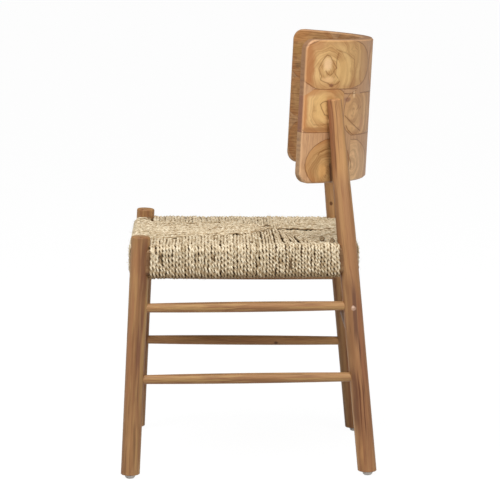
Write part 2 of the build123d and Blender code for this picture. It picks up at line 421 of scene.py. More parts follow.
@dataclass(frozen=True)
class LongGrainTeak:
    """Oiled teak cut along the grain.

    Args:
        name: material name.
        start: one end of the piece's centre line.
        end: the other end.
        look: how the piece looks.
    """

    name: str
    start: Vector
    end: Vector
    look: WoodLook

    def toned(self, *colours: Colour) -> list[Colour]:
        """The colours at this piece's brightness."""
        return [tuple(part * self.look.tone for part in colour) for colour in colours]

    def banded(self, tree: ShaderTree, colour: Value, sway: Value, streak: Value) -> Value:
        """Lays the bands over the wood, painted light and shade among them.

        Args:
            tree: the material's tree.
            colour: the wood without bands.
            sway: slow noise, which bends them.
            streak: quick noise, which frays them.

        Returns:
            The colour with the bands.
        """
        if not self.look.bands:
            return colour
        fade = 0.05
        _, back, height = tree.parts(tree.place())
        lean = (self.end.y - self.start.y) / (self.end.z - self.start.z)
        behind = back - (height * lean + (self.start.y - self.start.z * lean))
        wander = (sway - 0.5) * 0.026 + (streak - 0.5) * 0.01
        for band in self.look.bands:
            away = (behind + wander - band.offset).magnitude()
            inside = away.step(band.half_width * 1.25, band.half_width * 0.5)
            above = height.step(band.low, band.low + fade)
            below = height.step(band.high, band.high - fade)
            colour = tree.mixed(colour, band.colour, inside * above * below * band.share)
        return colour

    def marked(self, tree: ShaderTree, colour: Value, ragged: Value) -> Value:
        """Lays the knots and pegs over the wood, their rims frayed by a quick noise."""
        for mark in self.look.marks:
            apart = tree.vectors("DISTANCE", tree.place(), Vector(mark.place))
            apart = apart + (ragged - 0.5) * mark.radius
            inside = apart.step(mark.radius * 1.2, mark.radius * 0.6)
            colour = tree.mixed(colour, mark.colour, inside * mark.share)
        return colour

    def gilded(self, tree: ShaderTree, colour: Value, place: Value) -> Value:
        """Lays the golden and olive streaks over the wood."""
        golden = self.look.golden
        if not golden:
            return colour
        gold, olive = self.toned(srgb(216, 176, 112), srgb(136, 102, 56))
        rubbed = tree.noise(place, (160, 160, 9.0), 3.0, 0.6)
        colour = tree.mixed(colour, gold, rubbed.step(0.5, 0.64) * golden)
        return tree.mixed(colour, olive, rubbed.step(0.47, 0.34) * golden)

    def material(self) -> bpy.types.Material:
        """Builds the material."""
        tree = new_material(self.name)
        turn = (self.end - self.start).normalized().to_track_quat("Z", "X").to_matrix()
        place = tree.place(turn, self.start)
        light, mid, dark, red = self.toned(
            srgb(204, 157, 106), srgb(170, 121, 79), srgb(100, 63, 38), srgb(150, 95, 62)
        )
        sway = tree.noise(place, (12, 12, 4.0))
        bent = tree.vectors("ADD", place, tree.joined(sway * 0.02, sway * 0.02, 0.0))
        figure = tree.noise(bent, (46, 46, 2.6), 3.0, 0.55)
        streak = tree.noise(bent, (130, 130, 3.4), 3.0, 0.6)
        vein = tree.noise(bent, (260, 260, 5.0))
        pores = tree.noise(place, (900, 900, 26.0), 3.0, 0.6)
        colour = tree.mixed(light, mid, figure.step(0.3, 0.62))
        colour = tree.mixed(colour, red, streak.step(0.46, 0.7) * self.look.red)
        shade = figure.step(0.5, 0.75) * streak.step(0.4, 0.6)
        colour = tree.mixed(colour, dark, shade * 0.4)
        colour = self.banded(tree, colour, sway, streak)
        colour = tree.mixed(colour, dark, vein.step(0.6, 0.72) * 0.5)
        colour = tree.mixed(colour, dark, pores.step(0.52, 0.72) * 0.3)
        colour = self.gilded(tree, colour, place)
        colour = self.marked(tree, colour, vein)
        rough, height = 0.42 + pores * 0.2, 1.0 - pores.step(0.45, 0.75)
        return tree.finish(colour, rough, height, 0.12 * MM, Specular_IOR_Level=0.3)


@dataclass(frozen=True)
class Log:
    """Cross-cut log, in developed coordinates of the back panel.

    The panel's bend is rolled out flat: s runs along its outer face from the rearmost
    point towards the sitter's left, and w up its face, both in millimetres.

    Args:
        middle: s and w of the middle of its outline.
        reach: how far the outline goes towards greater s, towards lesser s, and up
            and down.
        heart: s and w of the pith.
        power: how square the outline is; 2 is an ellipse.
        wood: colours of the heartwood, light and mid.
        sap: colour of its rim.
        sap_share: how much of the rim's colour shows.
        ring: distance between growth rings.
        ring_share: how strongly the rings show.
        seed: shifts the noise.
    """

    middle: tuple[float, float]
    reach: tuple[float, float, float]
    heart: tuple[float, float]
    power: float = 2.2
    wood: tuple[Colour, Colour] = (srgb(228, 182, 122), srgb(198, 146, 90))
    sap: Colour = srgb(178, 110, 60)
    sap_share: float = 0.5
    ring: float = 5.0
    ring_share: float = 0.22
    seed: float = 0.0


@dataclass(frozen=True)
class DarkLine:
    """Dark line on the panel through places in s and w: splits, and one painted shadow. Its
    width is in millimetres.
    """

    places: tuple[tuple[float, float], ...]
    width: float = 1.3
    share: float = 0.65
    colour: Colour = srgb(132, 84, 44)


@dataclass(frozen=True)
class Patch:
    """Soft oval of another colour on the panel."""

    middle: tuple[float, float]
    reach: tuple[float, float]
    colour: Colour
    share: float = 0.6


@dataclass(frozen=True)
class LogSlice:
    """What one piece of the back shows.

    Args:
        name: name of the CAD node without its prefix.
        logs: the logs that it shows, the later ones on top.
        patches: soft patches of colour.
        dark_lines: dark lines, mostly splits; one in bottom_1 is a painted shadow.
        joints: heights of the level glue lines at its edges, in millimetres.
        edge: colour of its side grain, where the panel's edge cuts it.
    """

    name: str
    logs: tuple[Log, ...]
    patches: tuple[Patch, ...] = ()
    dark_lines: tuple[DarkLine, ...] = ()
    joints: tuple[float, ...] = ()
    edge: Colour = srgb(158, 118, 84)


@dataclass(frozen=True)
class BackShape:
    """Bend and lean of the back panel, as its slices are cut from it.

    Args:
        radius: radius of the outer face's bend, in metres.
        thickness: thickness of the panel, in metres.
        lean: how far it leans back, in degrees.
        bottom: y and z of its rearmost lower edge, in metres.
    """

    radius: float = 0.2619
    thickness: float = 0.0215
    lean: float = 3.0
    bottom: tuple[float, float] = (0.2355, 0.5648)

    def developed(self, tree: ShaderTree) -> tuple[Value, Value, Value]:
        """Where a point of the surface is on the panel, from Object coordinates.

        Args:
            tree: the material's tree.

        Returns:
            Place along the bend and up the face in millimetres, and place in the
            thickness, from -1 at the inner face to 1 at the outer face.
        """
        place = tree.place()
        lean = math.radians(self.lean)
        from_bottom = tree.vectors("SUBTRACT", place, Vector((0, *self.bottom)))
        outward, up_face = (
            tree.vectors("DOT_PRODUCT", from_bottom, axis)
            for axis in (
                Vector((0, math.cos(lean), -math.sin(lean))),
                Vector((0, math.sin(lean), math.cos(lean))),
            )
        )
        x, _, _ = tree.parts(place)
        deep = outward + self.radius
        radius = (x * x + deep * deep) ** 0.5
        layer = (radius - (self.radius - self.thickness / 2)) / (self.thickness / 2)
        return x.bearing(deep) * (self.radius / MM), up_face / MM, layer


@dataclass(frozen=True)
class EndGrainTeak:
    """Sanded end grain of the logs that one piece shows, with the filler round them."""

    piece: LogSlice
    shape: BackShape = BackShape()

    def log_colour(
        self, tree: ShaderTree, flat: Value, log: Log, wobble: Value, fine: Value
    ) -> tuple[Value, Value]:
        """Colour of one log and its outline.

        Args:
            tree: the material's tree.
            flat: place on the panel.
            log: the log.
            wobble: slow noise about 0.
            fine: quicker noise about 0.

        Returns:
            The colour, and a value that is 1 on the log's outline and less inside.
        """
        along, up_face, _ = tree.parts(flat)
        across, rise = along - log.middle[0], up_face - log.middle[1]
        wide = across.most(0.0) / log.reach[0] + (across * -1.0).most(0.0) / log.reach[1]
        tall = rise.magnitude() / log.reach[2]
        outline = (wide**log.power + tall**log.power) ** (1 / log.power)
        outline = outline + wobble * 0.1 + fine * 0.02
        east, north = along - log.heart[0], up_face - log.heart[1]
        radius = (east * east + north * north) ** 0.5
        bearing = east.bearing(north)
        grown = radius * (wobble * 0.5 + 1.0) + fine * 5.0
        years = tree.joined(grown * 0.075, bearing * 0.35, log.seed)
        zones = tree.noise(years, rough=0.55)
        late = (grown / log.ring).fraction().step(0.35, 1.0)
        spokes = tree.joined(bearing * 22.0, radius * 0.02, log.seed)
        rays = tree.noise(spokes, detail=3.0, rough=0.6)
        colour = tree.mixed(log.wood[0], log.wood[1], zones.step(0.36, 0.64))
        rings = late * zones.step(0.3, 0.6) * log.ring_share
        colour = tree.mixed(colour, srgb(150, 98, 52), rings)
        colour = tree.mixed(colour, srgb(140, 92, 52), rays.step(0.58, 0.8) * 0.25)
        rim = outline.step(0.6, 0.98) * (wobble * 2.0 + 1.0)
        return tree.mixed(colour, log.sap, rim * log.sap_share), outline

    def line_distance(self, tree: ShaderTree, flat: Value, dark_line: DarkLine) -> Value:
        """Distance from a dark line, in millimetres."""
        legs = []
        for here, there in zip(dark_line.places, dark_line.places[1:]):
            start = Vector((*here, 0.0))
            run = Vector((*there, 0.0)) - start
            apart = tree.vectors("SUBTRACT", flat, start)
            share = tree.vectors("DOT_PRODUCT", apart, run / run.length_squared).clamped()
            foot = tree.node(
                "ShaderNodeVectorMath", {0: run, "Scale": share}, operation="SCALE"
            )
            legs.append(tree.vectors("DISTANCE", apart, foot))
        return reduce(Value.least, legs)

    def patched(self, tree: ShaderTree, colour: Value, flat: Value, ragged: Value) -> Value:
        """Lays the piece's patches over the wood, with ragged rims."""
        along, up_face, _ = tree.parts(flat)
        for patch in self.piece.patches:
            across = (along - patch.middle[0]) / patch.reach[0]
            rise = (up_face - patch.middle[1]) / patch.reach[1]
            away = (across * across + rise * rise) ** 0.5 + ragged
            colour = tree.mixed(colour, patch.colour, away.step(1.15, 0.4) * patch.share)
        return colour

    def with_dark_lines(self, tree: ShaderTree, colour: Value, flat: Value, fine: Value) -> Value:
        """Draws the piece's dark lines, each with a faint stain along it; the one beside the
        rear leg is painted shadow.
        """
        bent = tree.vectors("ADD", flat, tree.joined(fine * 4.0, fine * 4.0, 0.0))
        for dark_line in self.piece.dark_lines:
            away = self.line_distance(tree, bent, dark_line)
            line = away.step(dark_line.width, dark_line.width * 0.3)
            colour = tree.mixed(colour, dark_line.colour, line * dark_line.share)
            stain = away.step(dark_line.width * 3.0, 0.0)
            colour = tree.mixed(colour, srgb(160, 108, 58), stain * 0.25)
        return colour

    def edged(
        self, tree: ShaderTree, colour: Value, place: tuple[Value, Value, Value]
    ) -> Value:
        """Darkens the inner face with painted shade over brown streaks, and turns the cut
        edges to side grain with a painted highlight on their rims.

        Args:
            tree: the material's tree.
            colour: the wood of the outer face.
            place: place along the bend, up the face and in the thickness.

        Returns:
            The colour of the whole piece.
        """
        along, up_face, layer = place
        streaks = tree.joined(along * 0.03, up_face * 0.3, 3.0)
        streak = tree.noise(streaks, detail=3.0, rough=0.6)
        # Painted shade: the inner face is darkened, over brown streaks of the wood.
        inner_streaks_and_shade = tree.mixed(srgb(160, 122, 80), srgb(108, 78, 48), streak.step(0.4, 0.62))
        colour = tree.mixed(colour, inner_streaks_and_shade, layer.step(-0.6, -0.9) * 0.6)
        fibres = tree.joined(along * 0.16, up_face * 0.16, layer * 0.35)
        side_grain = tree.noise(fibres, detail=3.0, rough=0.6).step(0.4, 0.8)
        edge = tree.mixed(self.piece.edge, srgb(118, 82, 60), side_grain * 0.6)
        deep = layer.magnitude()
        colour = tree.mixed(colour, edge, deep.step(0.9, 0.66))
        # Painted highlight along the rounded rims of the cut edges.
        rim_highlight = deep.step(0.62, 0.8) * deep.step(0.995, 0.9)
        return tree.mixed(colour, srgb(232, 190, 146), rim_highlight * 0.25)

    def material(self) -> bpy.types.Material:
        """Builds the material."""
        piece = self.piece
        tree = new_material(f"end_grain_{piece.name}")
        along, up_face, layer = self.shape.developed(tree)
        flat = tree.joined(along, up_face, 0.0)
        wobble = tree.noise(flat, (0.022, 0.022, 1)) - 0.5
        fine = tree.noise(flat, (0.09, 0.09, 1)) - 0.5
        grain = tree.noise(flat, (0.42, 0.03, 1), 3.0, 0.6)
        pores = tree.noise(flat, (0.7, 0.7, 1), 2.0, 0.6)
        cloud = tree.noise(flat, (0.045, 0.045, 1), 3.0, 0.6)
        colour = tree.mixed(srgb(208, 162, 118), srgb(182, 136, 98), grain.step(0.35, 0.7))
        lines = []
        for log in piece.logs:
            wood, outline = self.log_colour(tree, flat, log, wobble, fine)
            colour = tree.mixed(colour, wood, outline.step(1.006, 0.996))
            lines.append((outline - 1.0).magnitude().step(0.02, 0.005))
        for joint in piece.joints:
            lines.append((up_face - joint + fine * 2.2).magnitude().step(1.5, 0.4))
        colour = self.patched(tree, colour, flat, wobble * 0.7 + fine * 0.6)
        colour = tree.mixed(colour, srgb(164, 112, 62), cloud.step(0.52, 0.78) * 0.3)
        colour = tree.mixed(colour, srgb(146, 96, 54), pores.step(0.55, 0.75) * 0.14)
        relief = pores
        if lines:
            glue = reduce(Value.most, lines)
            colour = tree.mixed(colour, srgb(122, 76, 40), glue * 0.62)
            relief = 1 - glue
        colour = self.with_dark_lines(tree, colour, flat, fine)
        colour = self.edged(tree, colour, (along, up_face, layer))
        return tree.finish(colour, 0.5, relief, 0.4 * MM, Specular_IOR_Level=0.3)


@dataclass(frozen=True)
class PlainWood:
    """Small pieces of raw or pale wood.

    Args:
        name: material name.
        light: lighter colour.
        dark: darker colour.
    """

    name: str
    light: Colour
    dark: Colour

    def material(self) -> bpy.types.Material:
        """Builds the material."""
        tree = new_material(self.name)
        place = tree.place()
        grain = tree.noise(place, (500, 60, 500), 3.0, 0.6)
        colour = tree.mixed(self.light, self.dark, grain.step(0.35, 0.7))
        return tree.finish(colour, 0.55, grain, 0.1 * MM, Specular_IOR_Level=0.3)


@dataclass(frozen=True)
class Seagrass:
    """Dry seagrass, twisted in two plies.

    Its colours follow each strand's own UV map, and carry painted shade that darkens
    with the depth below the neighbouring strands, which the mesh keeps in the alpha of its
    tint.

    Args:
        lay: length of one full turn of the twist, in metres.
        name: material name.
    """

    lay: float
    name: str = "seagrass_cord"

    def material(self) -> bpy.types.Material:
        """Builds the material."""
        tree = new_material(self.name)
        place = tree.node("ShaderNodeUVMap", {}, uv_map="Strand")
        along, around, _ = tree.parts(place)
        tint = tree.node("ShaderNodeAttribute", {}, "Color", attribute_name="strand_tint_and_shade")
        shade_depth = Value(tree, tint.socket.node.outputs["Alpha"])
        first, second, third = tree.parts(tint)
        straight = around - along / self.lay
        blades = tree.joined(along * 60.0, around * 7.0, first * 40.0)
        stains = tree.joined(along * 11.0, around * 0.7, second * 40.0)
        fibres = tree.joined(along * 150.0, straight * 22.0, third * 40.0)
        blade = tree.noise(blades, detail=3.0, rough=0.6)
        stain = tree.noise(stains, rough=0.6)
        fibre = tree.noise(fibres, detail=3.0, rough=0.65)
        pale, straw = srgb(240, 226, 198), srgb(201, 181, 147)
        brown, green = srgb(146, 116, 80), srgb(164, 156, 122)
        colour = tree.mixed(pale, straw, fibre.step(0.36, 0.6))
        colour = tree.mixed(colour, green, stain.step(0.46, 0.7) * 0.35)
        colour = tree.mixed(colour, brown, (stain * 0.5 + blade * 0.5).step(0.5, 0.66) * 0.6)
        colour = tree.mixed(colour, brown, fibre.step(0.56, 0.7) * 0.6)
        # Painted light and shade: soft pale and dark patches stand in for the humps of the
        # weave.
        hump_light_and_shade = tree.noise(tree.place(), (75, 170, 150), 2.0, 0.6)
        colour = tree.mixed(colour, srgb(158, 130, 92), hump_light_and_shade.step(0.5, 0.64) * 0.45)
        colour = tree.mixed(colour, srgb(250, 238, 212), hump_light_and_shade.step(0.46, 0.34) * 0.5)
        # Painted shade: grooves and gaps between the strands are darkened by their depth.
        groove_shade, gap_shade = shade_depth.step(0.05, 0.16), shade_depth.step(0.21, 0.45)
        colour = tree.mixed(colour, srgb(150, 122, 84), groove_shade * 0.8)
        colour = tree.mixed(colour, srgb(88, 65, 38), gap_shade * 0.8)
        relief = fibre + blade * 0.5
        return tree.finish(colour, 0.62, relief, 0.4 * MM, Specular_IOR_Level=0.3)


@dataclass(frozen=True)
class Offcuts:
    """Dusty, shadowed packing of cord ends."""

    name: str = "seagrass_offcuts"

    def material(self) -> bpy.types.Material:
        """Builds the material."""
        tree = new_material(self.name)
        place = tree.place()
        tangle = tree.noise(place, (160, 300, 160), 4.0, 0.7)
        colour = tree.mixed(srgb(150, 126, 88), srgb(70, 54, 34), tangle.step(0.35, 0.65))
        return tree.finish(colour, 0.8, tangle, 2.0 * MM, Specular_IOR_Level=0.2)


@dataclass(frozen=True)
class Nylon:
    """Milky plastic of the glides."""

    name: str = "glide_nylon"

    def material(self) -> bpy.types.Material:
        """Builds the material."""
        tree = new_material(self.name)
        cloud = tree.noise(tree.place(), (90, 90, 90))
        colour = tree.mixed(srgb(226, 221, 213), srgb(206, 200, 194), cloud)
        return tree.finish(colour, 0.45, cloud, 0.05 * MM, Specular_IOR_Level=0.3)


@dataclass(frozen=True)
class Steel:
    """Bright steel of the hidden nails."""

    name: str = "nail_steel"

    def material(self) -> bpy.types.Material:
        """Builds the material."""
        tree = new_material(self.name)
        brushed = tree.noise(tree.place(), (900, 900, 60))
        colour = tree.mixed(srgb(190, 190, 188), srgb(150, 150, 150), brushed)
        return tree.finish(colour, 0.35, brushed, 0.03 * MM, Metallic=1.0)


# --------------------------------------------------------------------- woven seat


class FieldName(Enum):
    """The four fields of the weave, each wound over its own rail."""

    FRONT = "front"
    REAR = "rear"
    LEFT = "left"
    RIGHT = "right"

    @property
    def crosswise(self) -> bool:
        """Whether the field's strands run from side to side."""
        return self in (FieldName.LEFT, FieldName.RIGHT)


def unit(vectors: np.ndarray) -> np.ndarray:
    """The vectors, each made one unit long."""
    return vectors / np.linalg.norm(vectors, axis=-1, keepdims=True)


def lengths(path: np.ndarray) -> np.ndarray:
    """Distance of each place from the path's start, measured along the path."""
    steps = np.linalg.norm(np.diff(path, axis=0), axis=1)
    return np.concatenate([[0.0], np.cumsum(steps)])


@dataclass(frozen=True)
class CordSection:
    """Two-ply twisted cord.

    Args:
        ply: radius of one ply.
        offset: distance of a ply's middle from the cord's middle.
        lay: length of one full turn of the twist.
        corners: points round the section.
    """

    ply: float = 1.95 * MM
    offset: float = 1.35 * MM
    lay: float = 19.0 * MM
    corners: int = 10

    def ring(self) -> np.ndarray:
        """Outline of both plies together, as points in the section's own axes."""
        turn = np.arange(self.corners) * 2 * np.pi / self.corners
        reach = self.offset * np.abs(np.cos(turn)) + np.sqrt(
            self.ply**2 - (self.offset * np.sin(turn)) ** 2
        )
        return np.stack([reach * np.cos(turn), reach * np.sin(turn)], axis=1)


@dataclass
class Strand:
    """One turn of the cord, or a loose fibre of it.

    Args:
        path: places along its centre line, evenly spaced.
        binormal: unit vector across the plane that the path bends in.
        start_turn: twist at the path's start, in radians.
        scale: thickness against the usual section, along the path.
        tint: three random numbers that vary its colour.
        shade_depth: how far it lies below its neighbours along the path, which sets its
            painted shade.
        twist: how tightly it is twisted, against the usual lay.
        ring: outline of the section, if not that of the cord.
    """

    path: np.ndarray
    binormal: np.ndarray
    start_turn: float
    scale: np.ndarray
    tint: np.ndarray
    shade_depth: np.ndarray
    twist: float = 1.0
    ring: np.ndarray | None = None


@dataclass
class StrandMesh:
    """Gathers the strands of one field into a single mesh."""

    section: CordSection = field(default_factory=CordSection)
    points: list[np.ndarray] = field(default_factory=list)
    faces: list[np.ndarray] = field(default_factory=list)
    strand_uv: list[np.ndarray] = field(default_factory=list)
    tints_and_shade: list[np.ndarray] = field(default_factory=list)
    count: int = 0

    def add(self, strand: Strand) -> np.ndarray:
        """Adds one strand.

        Args:
            strand: the strand.

        Returns:
            The unit normals out of the seat, along its path.
        """
        section, path, ring, reach = self.section, strand.path, strand.ring, 0.0
        if ring is None:
            ring, reach = section.ring(), section.ply + section.offset
        tangent = unit(np.gradient(path, axis=0))
        normal = unit(np.cross(strand.binormal, tangent))
        across = np.cross(tangent, normal)
        length = lengths(path)
        turn = strand.start_turn - length * 2 * np.pi * strand.twist / section.lay
        cosine, sine = np.cos(turn)[:, None], np.sin(turn)[:, None]
        out = (ring[None, :, 0] * cosine - ring[None, :, 1] * sine) * strand.scale[:, None]
        side = (ring[None, :, 0] * sine + ring[None, :, 1] * cosine) * strand.scale[:, None]
        grid = (
            path[:, None, :]
            + out[:, :, None] * normal[:, None, :]
            + side[:, :, None] * across[:, None, :]
        )
        rings, corners = out.shape
        index = np.arange(rings * corners).reshape(rings, corners) + self.count
        ahead = np.roll(index, -1, axis=1)
        quads = np.stack([index[:-1], ahead[:-1], ahead[1:], index[1:]], axis=2)
        around = np.arange(corners + 1) / corners
        corner_uv = np.empty((rings - 1, corners, 4, 2))
        for corner, (row, column) in enumerate(((0, 0), (0, 1), (1, 1), (1, 0))):
            corner_uv[:, :, corner, 0] = length[row : row + rings - 1, None]
            corner_uv[:, :, corner, 1] = around[None, column : column + corners]
        tint = np.tile(np.append(strand.tint, 1.0), (rings, corners, 1))
        # Alpha holds the painted shade: each point's depth below the cord's top, plus the
        # strand's shade depth.
        tint[:, :, 3] = (reach - out + strand.shade_depth[:, None]) / (10 * MM)
        self.points.append(grid.reshape(-1, 3))
        self.faces.append(quads.reshape(-1, 4))
        self.strand_uv.append(corner_uv.reshape(-1, 2))
        self.tints_and_shade.append(np.maximum(tint, 0.0).reshape(-1, 4))
        self.count += rings * corners
        return normal

    def build(self, name: str) -> bpy.types.Object:
        """Makes the object.

        Args:
            name: its name.

        Returns:
            The object, linked to the scene.
        """
        mesh = bpy.data.meshes.new(name)
        points = np.concatenate(self.points)
        faces = np.concatenate(self.faces)
        mesh.vertices.add(len(points))
        mesh.vertices.foreach_set("co", points.astype(np.float32).ravel())
        mesh.loops.add(faces.size)
        mesh.loops.foreach_set("vertex_index", faces.astype(np.int32).ravel())
        mesh.polygons.add(len(faces))
        mesh.polygons.foreach_set("loop_start", np.arange(len(faces), dtype=np.int32) * 4)
        mesh.update(calc_edges=True)
        layer = mesh.uv_layers.new(name="Strand")
        layer.data.foreach_set("uv", np.concatenate(self.strand_uv).astype(np.float32).ravel())
        tint = mesh.color_attributes.new("strand_tint_and_shade", "FLOAT_COLOR", "POINT")
        tint.data.foreach_set("color", np.concatenate(self.tints_and_shade).astype(np.float32).ravel())
        mesh.polygons.foreach_set("use_smooth", np.ones(len(faces), dtype=bool))
        mesh.update()
        made = bpy.data.objects.new(name, mesh)
        bpy.context.scene.collection.objects.link(made)
        return made


@dataclass(frozen=True)
class WeaveShape:
    """Sizes of the weave in metres, and where its fields meet in plan.

    The seams are those of the left half; the right half mirrors them.

    Args:
        rail_top: height of the rails' upper faces.
        rail_height: height of a rail.
        rail_thickness: thickness of a rail.
        rail_round: radius of a rail's long edges.
        rail_proud: how far a rail stands out beyond the line of the leg centres.
        stand: distance of the cord's middle from the rail.
        pitch: distance between neighbouring strands.
        leg_clear: distance of the first strand from a leg's centre.
        step: distance between a strand's rings of points.
        least_rings: how few rings a short strand still has.
        run_places: places on a strand's profile along a straight run.
        bend_places: the same, round one bend.
        least_run: shortest run inward from the middle of the rail's bend.
        crown: rise of the seat's middle.
        crown_y: where the crown is highest.
        dive_length: how close to the seam a strand starts to go down.
        sag: how far the strands on the left of the rear field hang down.
        sag_from: where those start.
        knots: middles of the two small knots.
        fan: how far a side strand runs towards the rear for each metre inward, at
            some places along its rail; behind the middle it runs forward.
        front_seam: line between the front field and the left one.
        rear_seam: line between the rear field and the left one.
    """

    rail_top: float = 0.448
    rail_height: float = 0.051
    rail_thickness: float = 0.026
    rail_round: float = 0.008
    rail_proud: float = 0.0015
    stand: float = 0.0045
    pitch: float = 0.0062
    leg_clear: float = 0.0212
    step: float = 0.0026
    least_rings: int = 12
    run_places: int = 60
    bend_places: int = 16
    least_run: float = 0.002
    crown: float = 0.007
    crown_y: float = 0.063
    dive_length: float = 0.007
    sag: float = 0.0043
    sag_from: float = 0.012
    knots: tuple[tuple[float, float, float], ...] = (
        (0.161, 0.1425, 0.4570),
        (0.187, 0.1610, 0.4565),
    )
    fan: tuple[tuple[float, float], ...] = (
        (0.0, 0.07),
        (0.059, 0.041),
        (0.0745, -0.004),
        (0.088, -0.046),
        (0.1165, -0.093),
        (0.135, -0.2),
    )
    front_seam: tuple[tuple[float, float], ...] = (
        (0.231, -0.211),
        (0.190, -0.198),
        (0.105, -0.180),
        (0.118, -0.165),
        (0.134, -0.146),
        (0.118, -0.126),
        (0.107, -0.111),
        (0.101, -0.095),
        (0.099, -0.083),
        (0.113, -0.071),
        (0.100, -0.060),
        (0.095, -0.040),
        (0.090, -0.017),
        (0.075, 0.003),
        (0.052, 0.020),
        (0.038, 0.032),
        (0.018, 0.045),
        (0.0, 0.055),
    )
    rear_seam: tuple[tuple[float, float], ...] = (
        (0.0, 0.055),
        (0.030, 0.0585),
        (0.046, 0.066),
        (0.068, 0.075),
        (0.092, 0.084),
        (0.108, 0.094),
        (0.120, 0.104),
        (0.134, 0.114),
        (0.154, 0.124),
        (0.164, 0.138),
        (0.175, 0.149),
        (0.190, 0.158),
        (0.207, 0.191),
    )


@dataclass(frozen=True)
class FieldHand:
    """How the strands of one field lie, wound by hand and so never quite alike.

    Args:
        lift: usual difference in height between whole strands, in metres.
        dive: how far a strand goes down between its neighbours at the seam, in metres.
        thickness: thickness against the usual section.
        waver: usual rise and fall along a strand, in metres.
        shade: how much of its depth below the neighbours darkens it, as painted shade.
        pale: depth taken off before the painted shade, in metres.
    """

    lift: float
    dive: float
    thickness: float
    waver: float
    shade: float = 0.4
    pale: float = 0.0


FIELD_HANDS = {
    FieldName.FRONT: FieldHand(0.0008, 0.004, 1.05, 0.0008, pale=0.0007),
    FieldName.REAR: FieldHand(0.0008, 0.004, 1.05, 0.0007, pale=0.0007),
    FieldName.LEFT: FieldHand(0.0005, 0.011, 1.15, 0.0004, shade=1.0),
    FieldName.RIGHT: FieldHand(0.0005, 0.011, 1.15, 0.0004, pale=0.0008),
}


@dataclass(frozen=True)
class Handwork:
    """What varies over the whole seat. Lengths are in metres.

    Args:
        place: usual error in a strand's place on its rail.
        short: how far at most a side strand stops short of the seam.
        dives: least and greatest share of the field's dive.
        deeper: how much deeper the side strands dive towards the rear.
        deeper_from: where that starts.
        free_after: how far inward a strand leaves its rail.
        tight: usual sideways error and thinning of a side strand.
        loose: the same, added where the left field is loose.
        loose_to: where the left field, tight up to its middle, has become loose.
        ruffle: usual waver of the strands beside the rear field's middle.
        ruffle_x: the middle of those strands.
        ruffle_reach: how far they lie from it.
        sideways: usual sideways drift along a strand.
        plump: usual change in thickness along a strand, and from one to the next.
        stain_from: how far out of the usual a strand's drift is where a stain starts.
        stain: how much deeper, and so darker, the strand looks there.
        twists: least and greatest twist of a strand, against the usual lay.
        tight_twists: the same behind tight_from.
        tight_from: where the cord is twisted more tightly.
    """

    place: float = 0.0002
    short: float = 0.006
    dives: tuple[float, float] = (0.7, 1.2)
    deeper: float = 1.6
    deeper_from: float = 0.055
    free_after: float = 0.02
    tight: tuple[float, float] = (0.0003, 0.04)
    loose: tuple[float, float] = (0.001, 0.2)
    loose_to: float = 0.04
    ruffle: float = 0.0013
    ruffle_x: float = 0.014
    ruffle_reach: float = 0.01
    sideways: float = 0.0007
    plump: tuple[float, float] = (0.07, 0.03)
    stain_from: float = 1.5
    stain: float = 0.004
    twists: tuple[float, float] = (0.65, 1.15)
    tight_twists: tuple[float, float] = (0.8, 1.35)
    tight_from: float = 0.03

    def slack(self, name: FieldName, base: Vector) -> tuple[float, float]:
        """Usual sideways error and thinning of the strand at a place on its rail."""
        loose = min(max(base.y / self.loose_to, 0.0), 1.0) if name is FieldName.LEFT else 0.0
        return tuple(usual + more * loose for usual, more in zip(self.tight, self.loose))

    def waver(self, name: FieldName, base: Vector) -> float:
        """Usual rise and fall along the strand at a place on its rail."""
        ruffled = name is FieldName.REAR and abs(base.x - self.ruffle_x) < self.ruffle_reach
        return self.ruffle if ruffled else FIELD_HANDS[name].waver

    def twist(self, base: Vector) -> tuple[float, float]:
        """Least and greatest twist of the strand at a place on its rail."""
        return self.tight_twists if base.y > self.tight_from else self.twists


@dataclass(frozen=True)
class LooseFibre:
    """Fibre that stands out of the cord.

    Args:
        radius: its radius.
        corners: points round it.
        rings: places along it.
        lengths: least and greatest length, in metres.
        root: distance of its root from the cord's middle, in metres.
        spread: how far it strays from standing straight out.
        bend: how much it bends.
        tip: thickness at its tip, against that at its root.
        shade_depth: how much painted shade it has, as a depth in metres.
        number: how many a strand has.
    """

    radius: float = 0.28 * MM
    corners: int = 3
    rings: int = 6
    lengths: tuple[float, float] = (0.002, 0.0065)
    root: float = 0.0028
    spread: float = 0.7
    bend: float = 0.5
    tip: float = 0.4
    shade_depth: float = 0.0003
    number: int = 3

    def ring(self) -> np.ndarray:
        """Outline of the fibre, as points in its own axes."""
        turn = np.arange(self.corners) * 2 * np.pi / self.corners
        return np.stack([np.cos(turn), np.sin(turn)], axis=1) * self.radius


@dataclass(frozen=True)
class Knot:
    """Curl where two lengths of cord are tied together.

    Args:
        radii: radius of the curl at its start and end.
        turns: how often it goes round.
        rings: places along it.
        thickness: thickness against the usual section.
        side: one axis of the curl, nearly along the seat's edge.
        rise: the other axis, up and a little outwards.
        pale: depth taken off its painted shade.
    """

    radii: tuple[float, float] = (4.4 * MM, 1.6 * MM)
    turns: float = 1.25
    rings: int = 26
    thickness: float = 0.7
    side: tuple[float, float, float] = (0.25, 0.97, 0.0)
    rise: tuple[float, float, float] = (-0.45, 0.0, 0.89)
    pale: float = 0.6 * MM


